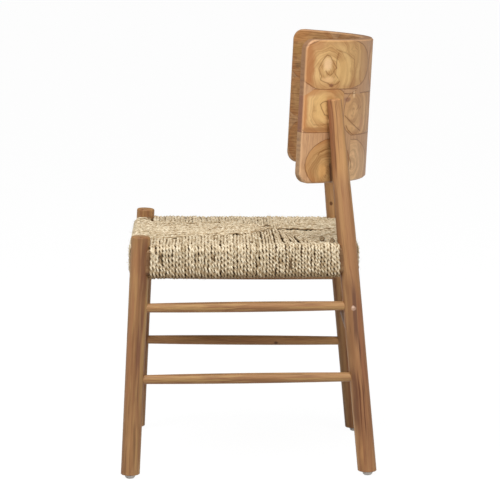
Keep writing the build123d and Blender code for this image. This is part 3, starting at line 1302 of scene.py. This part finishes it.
@dataclass
class WovenSeat:
    """The cord of the seat, wound over the four rails.

    Args:
        shape: sizes and seams.
        hand: how the winding varies.
        fibre: size of the loose fibres.
        curl: size of the knots.
        seed: start of the random numbers, so that every run is the same.
    """

    shape: WeaveShape = field(default_factory=WeaveShape)
    hand: Handwork = field(default_factory=Handwork)
    fibre: LooseFibre = field(default_factory=LooseFibre)
    curl: Knot = field(default_factory=Knot)
    seed: int = 11

    def rail_ends(self, name: FieldName) -> tuple[Vector, Vector]:
        """Leg centres at the two ends of a field's rail, in plan."""
        first, first_side, last, last_side = {
            FieldName.FRONT: (FRONT_LEG, Side.RIGHT, FRONT_LEG, Side.LEFT),
            FieldName.REAR: (REAR_LEG, Side.LEFT, REAR_LEG, Side.RIGHT),
            FieldName.LEFT: (FRONT_LEG, Side.LEFT, REAR_LEG, Side.LEFT),
            FieldName.RIGHT: (REAR_LEG, Side.RIGHT, FRONT_LEG, Side.RIGHT),
        }[name]
        start, end = first.at(RAIL_MIDDLE_Z, first_side), last.at(RAIL_MIDDLE_Z, last_side)
        return Vector((start.x, start.y, 0)), Vector((end.x, end.y, 0))

    def seam(self, name: FieldName) -> list[Vector]:
        """Line in plan where a field meets its neighbours."""
        front = [Vector((x, y, 0)) for x, y in self.shape.front_seam]
        rear = [Vector((x, y, 0)) for x, y in self.shape.rear_seam]

        def flipped(points: list[Vector]) -> list[Vector]:
            return [Vector((-point.x, point.y, 0)) for point in reversed(points)]

        if name is FieldName.FRONT:
            return front + flipped(front)
        if name is FieldName.REAR:
            return flipped(rear) + rear
        if name is FieldName.LEFT:
            return front + rear
        return flipped(front + rear)

    def lean(self, y: float) -> float:
        """How far a side strand runs towards the rear for each metre inward."""
        places, leans = zip(*self.shape.fan)
        return float(np.interp(y, places, leans))

    def reach(self, name: FieldName, start: Vector, inward: Vector) -> float:
        """Distance from a place on the rail to the field's seam.

        Args:
            name: the field.
            start: place on the line of the leg centres.
            inward: the way that the strand runs, one unit long across the rail.

        Returns:
            The distance across the rail, in metres.
        """
        points = self.seam(name)
        side = Vector((-inward.y, inward.x, 0))
        found = 0.0
        for here, there in zip(points, points[1:]):
            near, far = (here - start).dot(side), (there - start).dot(side)
            if near * far <= 0 and near != far:
                share = near / (near - far)
                run = (here + (there - here) * share - start).dot(inward)
                found = max(found, run / inward.length_squared)
        return found

    def profile(self, reach: float, lift: float, dive: float, sag: float) -> np.ndarray:
        """Route of a strand in the plane across its rail: inward distance and height.

        Args:
            reach: inward distance of the seam from the leg centres.
            lift: how much higher than usual the strand lies on top.
            dive: how far it goes down between its neighbours at the seam.
            sag: how far it hangs away from the rail.

        Returns:
            Inward distance, height and depth below the neighbours for the painted shade,
            from the seam below, round the rail, to the seam above.
        """
        shape = self.shape
        bend = shape.rail_round + shape.stand
        centre_in = -(shape.rail_proud + shape.rail_thickness / 2 - shape.rail_round)
        top = shape.rail_top + shape.stand
        bottom = shape.rail_top - shape.rail_height - shape.stand
        run = np.linspace(1.0, 0.0, shape.run_places)
        inner = np.maximum(reach, centre_in + shape.least_run)
        inward = centre_in + (inner - centre_in) * run
        plunge = dive * np.exp(-(((inner - inward) / shape.dive_length) ** 2))
        full_from = 0.5
        hang = sag * np.minimum(run / full_from, 1.0)
        turn = np.linspace(0, np.pi / 2, shape.bend_places)
        settled = 1 - turn / (np.pi / 2)
        # Depth for the painted shade: a little less on top, less still round the rail, more
        # below.
        proud, prouder, darker, dark = 0.0004, 0.0008, 0.0016, 0.0025
        upper_run = (inward, top + lift - plunge - hang, plunge - proud)
        upper_bend = (
            centre_in - bend * np.sin(turn),
            top + lift * settled - bend * (1 - np.cos(turn)),
            np.full(len(turn), -prouder),
        )
        lower_bend = (
            centre_in - bend * np.cos(turn),
            bottom + bend * (1 - np.sin(turn)),
            turn * darker,
        )
        lower_run = (inward[::-1], bottom + plunge[::-1], plunge[::-1] + dark)
        upper, over, under, lower = (
            np.stack(stretch, axis=1)
            for stretch in (upper_run, upper_bend, lower_bend, lower_run)
        )
        return np.concatenate([upper, over[1:], under, lower[1:]])[::-1]

    def crown(self, path: np.ndarray) -> np.ndarray:
        """Rise of the seat's top at each place of a strand.

        Args:
            path: places along the strand.

        Returns:
            The rise, in metres: none over the rails and below the seat.
        """
        shape = self.shape
        front, rear = FRONT_LEG.at(RAIL_MIDDLE_Z), REAR_LEG.at(RAIL_MIDDLE_Z)
        x, y, z = np.abs(path[:, 0]), path[:, 1], path[:, 2]
        slope = (rear.x - front.x) / (rear.y - front.y)
        half = front.x - shape.rail_thickness + slope * (y - front.y)
        middle = front.x - shape.rail_thickness + slope * (shape.crown_y - front.y)
        share = np.minimum((half - x) / middle, (y - front.y) / (shape.crown_y - front.y))
        share = np.minimum(share, (rear.y - y) / (rear.y - shape.crown_y))
        return shape.crown * np.clip(share, 0, 1) * (z > RAIL_MIDDLE_Z)

    def resampled(self, route: np.ndarray) -> np.ndarray:
        """Places at even steps along a route."""
        length = lengths(route[:, :2])
        count = max(int(length[-1] / self.shape.step), self.shape.least_rings)
        wanted = np.linspace(0, length[-1], count)
        return np.stack(
            [np.interp(wanted, length, route[:, axis]) for axis in range(3)], axis=1
        )

    def drift(self, count: int, size: float, rng: np.random.Generator) -> np.ndarray:
        """Slow random change along a strand, of the given usual size."""
        every = 5
        knots = rng.normal(0, size, max(count // every, 2) + 1)
        return np.interp(np.linspace(0, 1, count), np.linspace(0, 1, len(knots)), knots)

    def fray(
        self, mesh: StrandMesh, path: np.ndarray, normal: np.ndarray, rng: np.random.Generator
    ) -> None:
        """Adds a few loose fibres to a strand.

        Args:
            mesh: where they go.
            path: places along the strand.
            normal: unit normals out of the seat.
            rng: random numbers.
        """
        fibre = self.fibre
        share = np.linspace(0, 1, fibre.rings)[:, None]
        for _ in range(fibre.number):
            spot = rng.integers(len(path) // 3, len(path))
            out = unit(normal[spot] + rng.normal(0, fibre.spread, 3))
            bend = rng.normal(0, 1.0, 3)
            size = rng.uniform(*fibre.lengths)
            root = path[spot] + normal[spot] * fibre.root
            mesh.add(
                Strand(
                    path=root + (out * share + bend * share**2 * fibre.bend) * size,
                    binormal=unit(np.cross(out, rng.normal(0, 1, 3))),
                    start_turn=0.0,
                    scale=np.linspace(1.0, fibre.tip, fibre.rings),
                    tint=rng.random(3),
                    shade_depth=np.full(fibre.rings, fibre.shade_depth),
                    ring=fibre.ring(),
                )
            )

    def knot(self, mesh: StrandMesh, place: np.ndarray, rng: np.random.Generator) -> None:
        """Adds a knot.

        Args:
            mesh: where it goes.
            place: its middle.
            rng: random numbers.
        """
        curl = self.curl
        turn = np.linspace(0, curl.turns * 2 * np.pi, curl.rings) + rng.uniform(0, 2)
        side, rise = np.array(curl.side), np.array(curl.rise)
        radius = np.linspace(*curl.radii, curl.rings)[:, None]
        round_it = np.cos(turn)[:, None] * side + np.sin(turn)[:, None] * rise
        mesh.add(
            Strand(
                path=place + radius * round_it,
                binormal=np.cross(side, rise),
                start_turn=0.0,
                scale=np.full(curl.rings, curl.thickness),
                tint=rng.random(3),
                shade_depth=np.full(curl.rings, -curl.pale),
            )
        )

    def route(
        self, name: FieldName, base: Vector, along: Vector, rng: np.random.Generator
    ) -> tuple[np.ndarray, np.ndarray]:
        """Route of one strand before it strays.

        Args:
            name: its field.
            base: its place on the line of the leg centres.
            along: the way that the rail runs, one unit long.
            rng: random numbers.

        Returns:
            Places along the strand, and their rows of the profile.
        """
        shape, hand, own = self.shape, self.hand, FIELD_HANDS[name]
        inward = Vector((-along.y, along.x, 0))
        way = inward + Vector((0, self.lean(base.y), 0)) * name.crosswise
        reach = self.reach(name, base, way) - rng.uniform(0, hand.short) * name.crosswise
        lift = rng.normal(0, own.lift)
        sag = shape.sag if name is FieldName.REAR and base.x > shape.sag_from else 0.0
        dive = own.dive * rng.uniform(*hand.dives)
        if name.crosswise and base.y > hand.deeper_from:
            dive *= hand.deeper
        flat = self.resampled(self.profile(reach, lift, dive, sag))
        path = (
            np.array(base)[None, :]
            + flat[:, :1] * np.array(inward)[None, :]
            + flat[:, 1:2] * np.array((0, 0, 1.0))[None, :]
        )
        fan_from = -0.004
        path[:, 1] += np.maximum(flat[:, 0] - fan_from, 0.0) * (way - inward).y
        return path, flat

    def strand(
        self, name: FieldName, base: Vector, along: Vector, rng: np.random.Generator
    ) -> Strand:
        """One strand as the hand lays it.

        Args:
            name: its field.
            base: its place on the line of the leg centres.
            along: the way that the rail runs, one unit long.
            rng: random numbers.

        Returns:
            The strand.
        """
        hand, own = self.hand, FIELD_HANDS[name]
        path, flat = self.route(name, base, along, rng)
        on_top = np.clip(flat[:, 0] / hand.free_after, 0, 1) * (flat[:, 1] > RAIL_MIDDLE_Z)
        on_top *= name.crosswise
        error, thinning = hand.slack(name, base)
        path[:, 1] += on_top * rng.normal(0, error)
        rise = self.drift(len(path), hand.waver(name, base), rng)
        path[:, 2] += self.crown(path) + rise
        aside = self.drift(len(path), hand.sideways, rng)
        path += aside[:, None] * np.array(along)[None, :]
        odd = self.drift(len(path), 1.0, rng)
        stains = np.maximum(odd - hand.stain_from, 0.0) * hand.stain
        start_turn = rng.uniform(0, 2 * np.pi)
        within, between = hand.plump
        plump = self.drift(len(path), within, rng) + rng.normal(0, between)
        return Strand(
            path=path,
            binormal=np.array(along),
            start_turn=start_turn,
            scale=own.thickness - thinning * on_top + plump,
            tint=rng.random(3),
            shade_depth=flat[:, 2] * own.shade + stains - own.pale,
            twist=rng.uniform(*hand.twist(base)),
        )

    def wind(self, name: FieldName) -> bpy.types.Object:
        """Winds one field.

        Args:
            name: which field.

        Returns:
            Its strands, as one object.
        """
        shape = self.shape
        rng = np.random.default_rng(self.seed + list(FieldName).index(name))
        first, last = self.rail_ends(name)
        along = (last - first).normalized()
        free = (last - first).length - 2 * shape.leg_clear
        count = round(free / shape.pitch) + 1
        pitch = free / (count - 1)
        mesh = StrandMesh()
        for number in range(count):
            place = shape.leg_clear + number * pitch + rng.normal(0, self.hand.place)
            strand = self.strand(name, first + along * place, along, rng)
            normal = mesh.add(strand)
            self.fray(mesh, strand.path, normal, rng)
        if name is FieldName.LEFT:
            for place in shape.knots:
                self.knot(mesh, np.array(place), rng)
        made = mesh.build(f"seat_cord_{name.value}")
        LOG.info("%s: %d strands, %d vertices", made.name, count, mesh.count)
        return made

    def build(self) -> None:
        """Winds all four fields in place of the one-body seat."""
        finish = Seagrass(CordSection().lay).material()
        for name in FieldName:
            made = self.wind(name)
            made.data.materials.append(finish)
            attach(made, "root")
            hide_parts("woven_seat")


# ------------------------------------------------------------------------- frame

FRONT_BANDS = (
    Band(0.0, 0.02, 0.0, 0.16, srgb(170, 126, 82), 0.55),
    Band(0.005, 0.0075, 0.33, 0.49, srgb(112, 70, 46), 0.8),
    Band(0.005, 0.004, 0.19, 0.36, srgb(112, 70, 50), 0.75),
    # Painted light down the leg's lit front side.
    Band(-0.012, 0.005, 0.12, 0.47, srgb(172, 118, 80), 0.5),
    Band(0.004, 0.002, 0.0, 0.14, srgb(112, 78, 48), 0.6),
    Band(0.011, 0.0025, 0.0, 0.17, srgb(128, 84, 54), 0.5),
    Band(0.0135, 0.0035, 0.12, 0.40, srgb(172, 136, 86), 0.65),
)
REAR_BANDS = (
    Band(0.008, 0.008, 0.40, 0.60, srgb(172, 124, 84), 0.5),
    # Painted shade down the leg's front side.
    Band(-0.014, 0.006, 0.38, 0.60, srgb(136, 92, 60), 0.65),
    # Painted light on the leg's lit rear side above the seat.
    Band(0.004, 0.011, 0.56, 0.80, srgb(206, 154, 98), 0.4),
    # Painted shade down the leg's front side above the seat.
    Band(-0.015, 0.0105, 0.56, 0.80, srgb(144, 94, 64), 0.7),
    Band(-0.0065, 0.0014, 0.57, 0.80, srgb(112, 68, 42), 0.7),
    # Painted shade down the leg's front side.
    Band(-0.011, 0.007, 0.20, 0.42, srgb(138, 96, 62), 0.8),
    # Painted shade down the leg's front side, near the foot.
    Band(-0.012, 0.006, 0.07, 0.24, srgb(112, 72, 48), 0.85),
    Band(0.011, 0.007, 0.16, 0.38, srgb(142, 88, 60), 0.65),
    Band(-0.001, 0.0045, 0.24, 0.40, srgb(96, 60, 46), 0.8),
    Band(0.004, 0.0022, 0.20, 0.30, srgb(84, 46, 30), 0.8),
    Band(-0.004, 0.0016, 0.07, 0.22, srgb(92, 50, 28), 0.85),
    Band(0.003, 0.0016, 0.06, 0.21, srgb(98, 54, 32), 0.8),
    Band(-0.007, 0.0045, 0.0, 0.09, srgb(184, 134, 84), 0.6),
)
PEG_MARKS = (Mark((0.2265, 0.2005, 0.3300), 0.0046, srgb(214, 178, 154), 0.5),)
REAR_KNOTS = (Mark((-0.189, 0.1775, 0.486), 0.004, srgb(92, 56, 34), 0.85),)
STRETCHER_KNOTS = (Mark((-0.213, 0.0642, 0.1905), 0.006, srgb(62, 36, 22), 0.9),)

SIDE_WOOD = {
    Side.LEFT: {
        "front_leg": WoodLook(0.76, 0.45, FRONT_BANDS, golden=0.25),
        "rear_leg": WoodLook(0.87, 0.5, REAR_BANDS, PEG_MARKS),
        "side_stretcher_upper": WoodLook(0.81, 0.25, golden=0.5),
        "side_stretcher_lower": WoodLook(0.76, 0.25, golden=0.5),
        # Painted shade: the rail, seen only under the cord, is darkened to half tone.
        "side_rail": WoodLook(0.5),
    },
    Side.RIGHT: {
        "front_leg": WoodLook(0.85, 0.45, golden=0.25),
        "rear_leg": WoodLook(0.83, 0.5, marks=REAR_KNOTS),
        "side_stretcher_upper": WoodLook(0.81, 0.25, golden=0.2),
        "side_stretcher_lower": WoodLook(0.97, 0.25, marks=STRETCHER_KNOTS, golden=0.2),
        # Painted shade: the rail, seen only under the cord, is darkened to half tone.
        "side_rail": WoodLook(0.5),
    },
}
SIDE_HEIGHTS = {
    "side_stretcher_upper": 0.3327,
    "side_stretcher_lower": 0.1934,
    "side_rail": RAIL_MIDDLE_Z,
}
CROSS_WOOD = {"stretcher": WoodLook(0.95), "rail": WoodLook(0.7)}
CROSS_HEIGHTS = {"stretcher": 0.258, "rail": RAIL_MIDDLE_Z}


@dataclass
class CadPieces:
    """Pieces that keep the meshes of the CAD model.

    Args:
        nodes: the CAD nodes by name.
    """

    nodes: dict[str, bpy.types.Object]

    def dress(self, node: str, finish: Finish) -> None:
        """Gives a CAD node its finish."""
        mesh = self.nodes[node].data
        mesh.materials.clear()
        mesh.materials.append(finish.material())
        LOG.info("%s dressed", node)


@dataclass
class ChairFrame(CadPieces):
    """Legs, stretchers, rails and small pieces of the frame."""

    def dress_length(self, node: str, ends: tuple[Vector, Vector], look: WoodLook) -> None:
        """Gives a leg, stretcher or rail its wood, with the grain along it."""
        self.dress(node, LongGrainTeak(f"teak_{node}", *ends, look))

    def build(self) -> None:
        """Dresses every piece of the frame."""
        for side, looks in SIDE_WOOD.items():
            ends = {
                "front_leg": (FRONT_LEG.at(0, side), FRONT_LEG.at(FRONT_LEG.top_z, side)),
                "rear_leg": (REAR_LEG.at(0, side), REAR_LEG.at(REAR_LEG.top_z, side)),
            }
            for piece, z in SIDE_HEIGHTS.items():
                ends[piece] = (FRONT_LEG.at(z, side), REAR_LEG.at(z, side))
            for piece, look in looks.items():
                self.dress_length(f"{piece}_{side.name.lower()}", ends[piece], look)
        for word, leg in (("front", FRONT_LEG), ("rear", REAR_LEG)):
            for piece, z in CROSS_HEIGHTS.items():
                ends = (leg.at(z, Side.LEFT), leg.at(z, Side.RIGHT))
                self.dress_length(f"{word}_{piece}", ends, CROSS_WOOD[piece])
        peg = PlainWood("pale_peg", srgb(236, 208, 188), srgb(186, 142, 112))
        self.dress("tenon_pins", peg)
        dowel = PlainWood("dowel", srgb(206, 166, 120), srgb(178, 134, 88))
        self.dress("back_dowels", dowel)
        self.dress("filler_wedges", EndGrainTeak(LogSlice("filler", ())))
        self.dress("seat_padding", Offcuts())
        self.dress("glide_nails", Steel())


@dataclass(frozen=True)
class Glides:
    """The four domed glides, in place of the plain cones.

    Args:
        tread: radius of the flat tread.
        rings: radius and height of each ring above it.
        corners: points round a ring.
    """

    tread: float = 4.4 * MM
    rings: tuple[tuple[float, float], ...] = (
        (6.6 * MM, 0.6 * MM),
        (8.2 * MM, 1.7 * MM),
        (9.3 * MM, 3.2 * MM),
        (10.0 * MM, 5.4 * MM),
        (10.0 * MM, 8.4 * MM),
    )
    corners: int = 32

    def dome(self, foot: Vector) -> bpy.types.Object:
        """Shapes one glide upwards from its tread, and returns it."""
        bpy.ops.object.select_all(action="DESELECT")
        bpy.ops.mesh.primitive_circle_add(
            vertices=self.corners, radius=self.tread, fill_type="NGON", calc_uvs=False,
            location=foot,
        )
        bpy.ops.object.mode_set(mode="EDIT")
        bpy.ops.mesh.select_all(action="SELECT")
        radius, height = self.tread, 0.0
        for wider, higher in self.rings:
            rise = {"value": (0.0, 0.0, higher - height)}
            bpy.ops.mesh.extrude_region_move(TRANSFORM_OT_translate=rise)
            share = wider / radius
            middle = (foot.x, foot.y, higher)
            bpy.ops.transform.resize(value=(share, share, 1.0), center_override=middle)
            radius, height = wider, higher
        bpy.ops.mesh.select_all(action="SELECT")
        bpy.ops.mesh.normals_make_consistent(inside=False)
        bpy.ops.object.mode_set(mode="OBJECT")
        return bpy.context.active_object

    def build(self) -> None:
        """Puts a glide under each foot."""
        first, *others = (leg.at(0, side) for leg in (FRONT_LEG, REAR_LEG) for side in Side)
        made = self.dome(first)
        for foot in others:
            copy = made.copy()
            copy.data = made.data.copy()
            copy.location = foot
            bpy.context.scene.collection.objects.link(copy)
            copy.select_set(True)
        bpy.ops.object.join()
        bpy.ops.object.transform_apply(location=True, rotation=False, scale=False)
        made.name = made.data.name = "glide_domes"
        for face in made.data.polygons:
            face.use_smooth = len(face.vertices) == 4
        made.data.materials.append(Nylon().material())
        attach(made, "root")
        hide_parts("glides")
        LOG.info("glide domes: %d faces", len(made.data.polygons))


# -------------------------------------------------------------------------- back

GOLD = (srgb(228, 186, 126), srgb(202, 154, 98))
TAN = (srgb(224, 178, 124), srgb(196, 148, 100))
BROWN = (srgb(200, 154, 100), srgb(160, 114, 70))
TOP_NEAR = Log(
    (215, 228), (86, 133, 50), (232, 212), 2.3, GOLD, srgb(180, 122, 76), 0.4, 4.6, 0.34
)
TOP_MIDDLE = Log((22, 228), (54, 54, 52), (30, 222), 2.4, TAN, seed=2.0)
TOP_FAR = Log((-97, 230), (66, 66, 52), (-90, 236), 2.6, BROWN, seed=4.0)
TOP_END = Log((-228, 226), (62, 62, 54), (-222, 222), 3.0, BROWN, sap_share=0.7, seed=6.0)
MIDDLE_NEAR = Log((240, 139), (52, 62, 43), (226, 142), 4.5, GOLD, sap_share=0.5, seed=8.0)
MIDDLE_SECOND = Log(
    (112, 133), (68, 62, 46), (146, 138), 2.8, TAN, sap_share=0.2, ring=6.0, seed=10.0
)
MIDDLE_THIRD = Log((-14, 137), (64, 64, 43), (-12, 140), 2.6, GOLD, seed=12.0)
MIDDLE_FAR = Log((-135, 134), (57, 57, 46), (-138, 132), 2.6, BROWN, seed=14.0)
MIDDLE_END = Log((-240, 137), (50, 50, 43), (-242, 138), 3.2, BROWN, sap_share=0.7, seed=16.0)
BOTTOM_NEAR = Log(
    (215, 36), (60, 64, 50), (223, 18), 1.9, (srgb(208, 165, 108), srgb(181, 136, 84)),
    sap_share=0.4, ring=4.2, ring_share=0.5, seed=18.0,
)
BOTTOM_SECOND = Log(
    (148, 28), (60, 92, 54), (140, 36), 1.9, (srgb(236, 192, 140), srgb(210, 166, 120)),
    sap_share=0.15, seed=20.0,
)
BOTTOM_FAR = Log((-57, 44), (70, 70, 50), (-60, 46), 2.4, TAN, seed=22.0)
BOTTOM_END = Log((-206, 44), (80, 78, 50), (-210, 44), 2.6, BROWN, sap_share=0.6, seed=24.0)

LOG_SLICES = (
    LogSlice(
        "top_1",
        (TOP_NEAR,),
        (
            Patch((277, 224), (15, 60), srgb(176, 112, 64), 0.8),
            Patch((258, 264), (16, 12), srgb(190, 132, 86), 0.5),
            Patch((183, 216), (32, 34), srgb(236, 192, 126), 0.6),
            Patch((110, 232), (26, 40), srgb(200, 152, 104), 0.6),
            Patch((234, 230), (14, 15), srgb(250, 208, 158), 0.8),
            Patch((230, 199), (19, 7), srgb(242, 196, 140), 0.75),
            Patch((222, 188), (7, 4), srgb(116, 66, 56), 0.8),
        ),
        (
            DarkLine(
                (
                    (210, 222), (222, 236), (228, 244), (236, 246), (242, 242), (251, 231),
                    (255, 220), (252, 212), (248, 206), (250, 199), (240, 195), (230, 192),
                    (221, 186), (212, 190), (200, 196),
                ),
                1.4, 0.6,
            ),
            DarkLine(((210, 222), (211, 239), (206, 250)), 1.2, 0.6),
            DarkLine(((210, 222), (216, 218), (213, 210), (204, 202)), 1.1, 0.5),
            DarkLine(((237, 215), (232, 210), (226, 208), (219, 211), (218, 216)), 1.6, 0.6),
            DarkLine(
                (
                    (213, 257), (182, 250), (166, 243), (153, 237), (151, 224), (149, 213),
                    (151, 203), (159, 192), (166, 184),
                ),
                1.1, 0.3,
            ),
        ),
        (181.0,),
    ),
    LogSlice(
        "top_2",
        (TOP_MIDDLE, TOP_NEAR),
        (Patch((110, 232), (26, 40), srgb(200, 152, 104), 0.6),),
        joints=(172.0,),
    ),
    LogSlice("top_3", (TOP_MIDDLE, TOP_FAR), joints=(184.0,)),
    LogSlice(
        "top_4",
        (TOP_END,),
        (
            Patch((-270, 262), (40, 16), srgb(214, 144, 80), 0.7),
            Patch((-268, 232), (20, 16), srgb(176, 128, 56), 0.7),
            Patch((-262, 201), (20, 7), srgb(84, 50, 30), 0.9),
        ),
        (
            DarkLine(((-290, 210), (-240, 210)), 1.5, 0.6, srgb(224, 186, 140)),
            DarkLine(((-290, 190), (-240, 192)), 1.5, 0.6, srgb(224, 186, 140)),
        ),
        (176.0,),
    ),
    LogSlice(
        "middle_1",
        (MIDDLE_NEAR,),
        (
            Patch((286, 140), (12, 60), srgb(192, 128, 76), 0.8),
            Patch((270, 176), (28, 9), srgb(190, 130, 78), 0.6),
            Patch((242, 146), (28, 30), srgb(240, 198, 130), 0.6),
            # Painted shade: a brown band of shade above the glue line at 98 mm.
            Patch((250, 104), (48, 6), srgb(164, 112, 66), 0.7),
        ),
        (
            DarkLine(
                (
                    (228, 158), (234, 158), (241, 156), (247, 152), (244, 145), (239, 138),
                    (235, 132), (227, 130),
                ),
                1.4, 0.7,
            ),
            DarkLine(((268, 122), (262, 114), (250, 112), (232, 113)), 1.2, 0.3),
        ),
        (98.0, 181.0),
        srgb(148, 103, 77),
    ),
    LogSlice(
        "middle_2",
        (MIDDLE_SECOND,),
        (
            Patch((169, 160), (13, 6), srgb(138, 84, 68), 0.65),
            Patch((147, 171), (5, 9), srgb(240, 206, 160), 0.8),
            Patch((158, 103), (14, 7), srgb(226, 178, 120), 0.6),
            Patch((105, 112), (12, 18), srgb(204, 148, 106), 0.5),
        ),
        (
            DarkLine(((176, 129), (173, 127), (152, 115), (131, 105), (108, 97)), 1.3, 0.8),
            DarkLine(((171, 110), (164, 102), (150, 94), (139, 89)), 1.3, 0.8),
            DarkLine(((122, 148), (132, 139)), 1.0, 0.6),
            DarkLine(((112, 145), (118, 140)), 0.9, 0.5),
            DarkLine(((142, 90), (113, 91), (59, 90)), 1.2, 0.8),
        ),
        (172.0, 181.0),
    ),
    LogSlice("middle_3", (MIDDLE_THIRD,), joints=(96.0, 172.0)),
    LogSlice("middle_4", (MIDDLE_FAR,), joints=(184.0,)),
    LogSlice("middle_5", (MIDDLE_END,), joints=(176.0,)),
    LogSlice(
        "bottom_1",
        (BOTTOM_NEAR,),
        (Patch((234, 26), (14, 20), srgb(236, 180, 112), 0.5),),
        (
            DarkLine(((216, 66), (222, 66), (234, 64), (241, 61), (246, 55)), 1.4, 0.8),
            DarkLine(((275, 37), (274, 27), (268, 14)), 1.2, 0.6),
            # Painted shadow: the dark gap where the rear leg shades the panel beside it.
            DarkLine(((213, 36), (209, 12), (207, -4)), 4.2, 0.8, srgb(84, 50, 28)),
        ),
        (98.0,),
        srgb(180, 142, 104),
    ),
    LogSlice(
        "bottom_2",
        (BOTTOM_SECOND,),
        (Patch((150, 34), (4, 8), srgb(244, 208, 160), 0.6),),
        (DarkLine(((152, 49), (146, 38), (146, 24)), 1.3, 0.8),),
        (90.5, 96.0),
    ),
    LogSlice("bottom_3", (BOTTOM_FAR,), joints=(96.0, 88.0)),
    LogSlice("bottom_4", (BOTTOM_END,), joints=(88.0, 97.0)),
)


@dataclass
class LogSliceBack(CadPieces):
    """The curved back, slice by slice."""

    def build(self) -> None:
        """Dresses every slice."""
        for piece in LOG_SLICES:
            self.dress(f"back_slice_{piece.name}", EndGrainTeak(piece))


# ------------------------------------------------------------------------- studio


def aim(made: bpy.types.Object, place: tuple[float, float, float], ahead: Vector) -> None:
    """Puts a camera or lamp into the scene at a place, looking ahead."""
    made.location = place
    made.rotation_euler = ahead.to_track_quat("-Z", "Y").to_euler()
    bpy.context.scene.collection.objects.link(made)


@dataclass(frozen=True)
class Lamp:
    """Square soft white lamp that faces the seat.

    Args:
        name: its name.
        place: its middle.
        size: length of its sides, in metres.
        power: its power, in watts.
    """

    name: str
    place: tuple[float, float, float]
    size: float
    power: float

    def build(self) -> None:
        """Adds the lamp."""
        data = bpy.data.lights.new(self.name, "AREA")
        data.size, data.energy = self.size, self.power
        seat = Vector((0, 0, 0.42))
        aim(bpy.data.objects.new(self.name, data), self.place, seat - Vector(self.place))


@dataclass(frozen=True)
class Studio:
    """Camera, lamps, white floor and surroundings.

    Args:
        camera_place: place of the camera.
        camera_yaw: how far it is turned from looking along -X, in degrees.
        camera_pitch: how far down it looks, in degrees.
        lens: its focal length, in millimetres.
        sensor: width of its sensor, in millimetres.
        floor_size: length of the floor's sides, in metres.
        floor_glow: how much of the floor's light is its own, where it is seen.
        floor_light: strength of that light.
        fill: strength of the light from all round.
        lamps: the lamps.
    """

    camera_place: tuple[float, float, float] = (5.0511, -0.0971, 1.0845)
    camera_yaw: float = -1.16
    camera_pitch: float = 7.56
    lens: float = 182.7
    sensor: float = 36.0
    floor_size: float = 60.0
    floor_glow: float = 0.86
    floor_light: float = 1.12
    fill: float = 0.22
    lamps: tuple[Lamp, ...] = (
        Lamp("key", (1.6, -0.7, 3.1), 2.4, 108.0),
        Lamp("side", (3.0, 2.2, 1.7), 2.2, 48.0),
    )

    def camera(self) -> None:
        """Sets the camera where the chair is seen from its left side."""
        yaw, pitch = math.radians(self.camera_yaw), math.radians(self.camera_pitch)
        level = -math.cos(pitch)
        data = bpy.data.cameras.new("camera")
        data.lens, data.sensor_width = self.lens, self.sensor
        data.clip_start, data.clip_end = 0.1, 200.0
        made = bpy.data.objects.new("camera", data)
        ahead = Vector((level * math.cos(yaw), level * math.sin(yaw), -math.sin(pitch)))
        aim(made, self.camera_place, ahead)
        bpy.context.scene.camera = made

    def floor(self) -> None:
        """Adds the white floor, which keeps a faint shadow."""
        bpy.ops.object.select_all(action="DESELECT")
        bpy.ops.mesh.primitive_plane_add(size=self.floor_size, location=(0, 0, 0))
        floor = bpy.context.active_object
        floor.name = "floor"
        tree = new_material("floor_white")
        diffuse = tree.node("ShaderNodeBsdfDiffuse", {"Color": srgb(205, 205, 205)})
        light = {"Color": (1, 1, 1), "Strength": self.floor_light}
        glow = tree.node("ShaderNodeEmission", light)
        direct, mirrored = (
            tree.node("ShaderNodeLightPath", {}, f"Is {ray} Ray")
            for ray in ("Camera", "Glossy")
        )
        share = direct.most(mirrored) * self.floor_glow
        shader = tree.node("ShaderNodeMixShader", [share, diffuse, glow])
        floor.data.materials.append(tree.end(shader))

    def world(self) -> None:
        """White surroundings to the eye, and a softer fill light on the chair."""
        world = bpy.data.worlds.new("surroundings")
        bpy.context.scene.world = world
        tree = ShaderTree(world)
        fill, white = (
            tree.node("ShaderNodeBackground", {"Color": (1, 1, 1), "Strength": strength})
            for strength in (self.fill, 1.0)
        )
        seen = tree.node("ShaderNodeLightPath", {}, "Is Camera Ray")
        tree.end(tree.node("ShaderNodeMixShader", [seen, fill, white]))

    def build(self) -> None:
        """Sets up the whole studio."""
        self.camera()
        self.floor()
        self.world()
        for lamp in self.lamps:
            lamp.build()
        bpy.context.scene.view_settings.view_transform = "Standard"


def main() -> None:
    """Builds the pieces in order."""
    logging.basicConfig(level=logging.INFO, format="%(name)s: %(message)s")
    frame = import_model()
    bpy.ops.object.select_all(action="DESELECT")
    ChairFrame(frame["nodes"]).build()
    Glides().build()
    LogSliceBack(frame["nodes"]).build()
    WovenSeat().build()
    Studio().build()


if __name__ == "__main__":
    main()
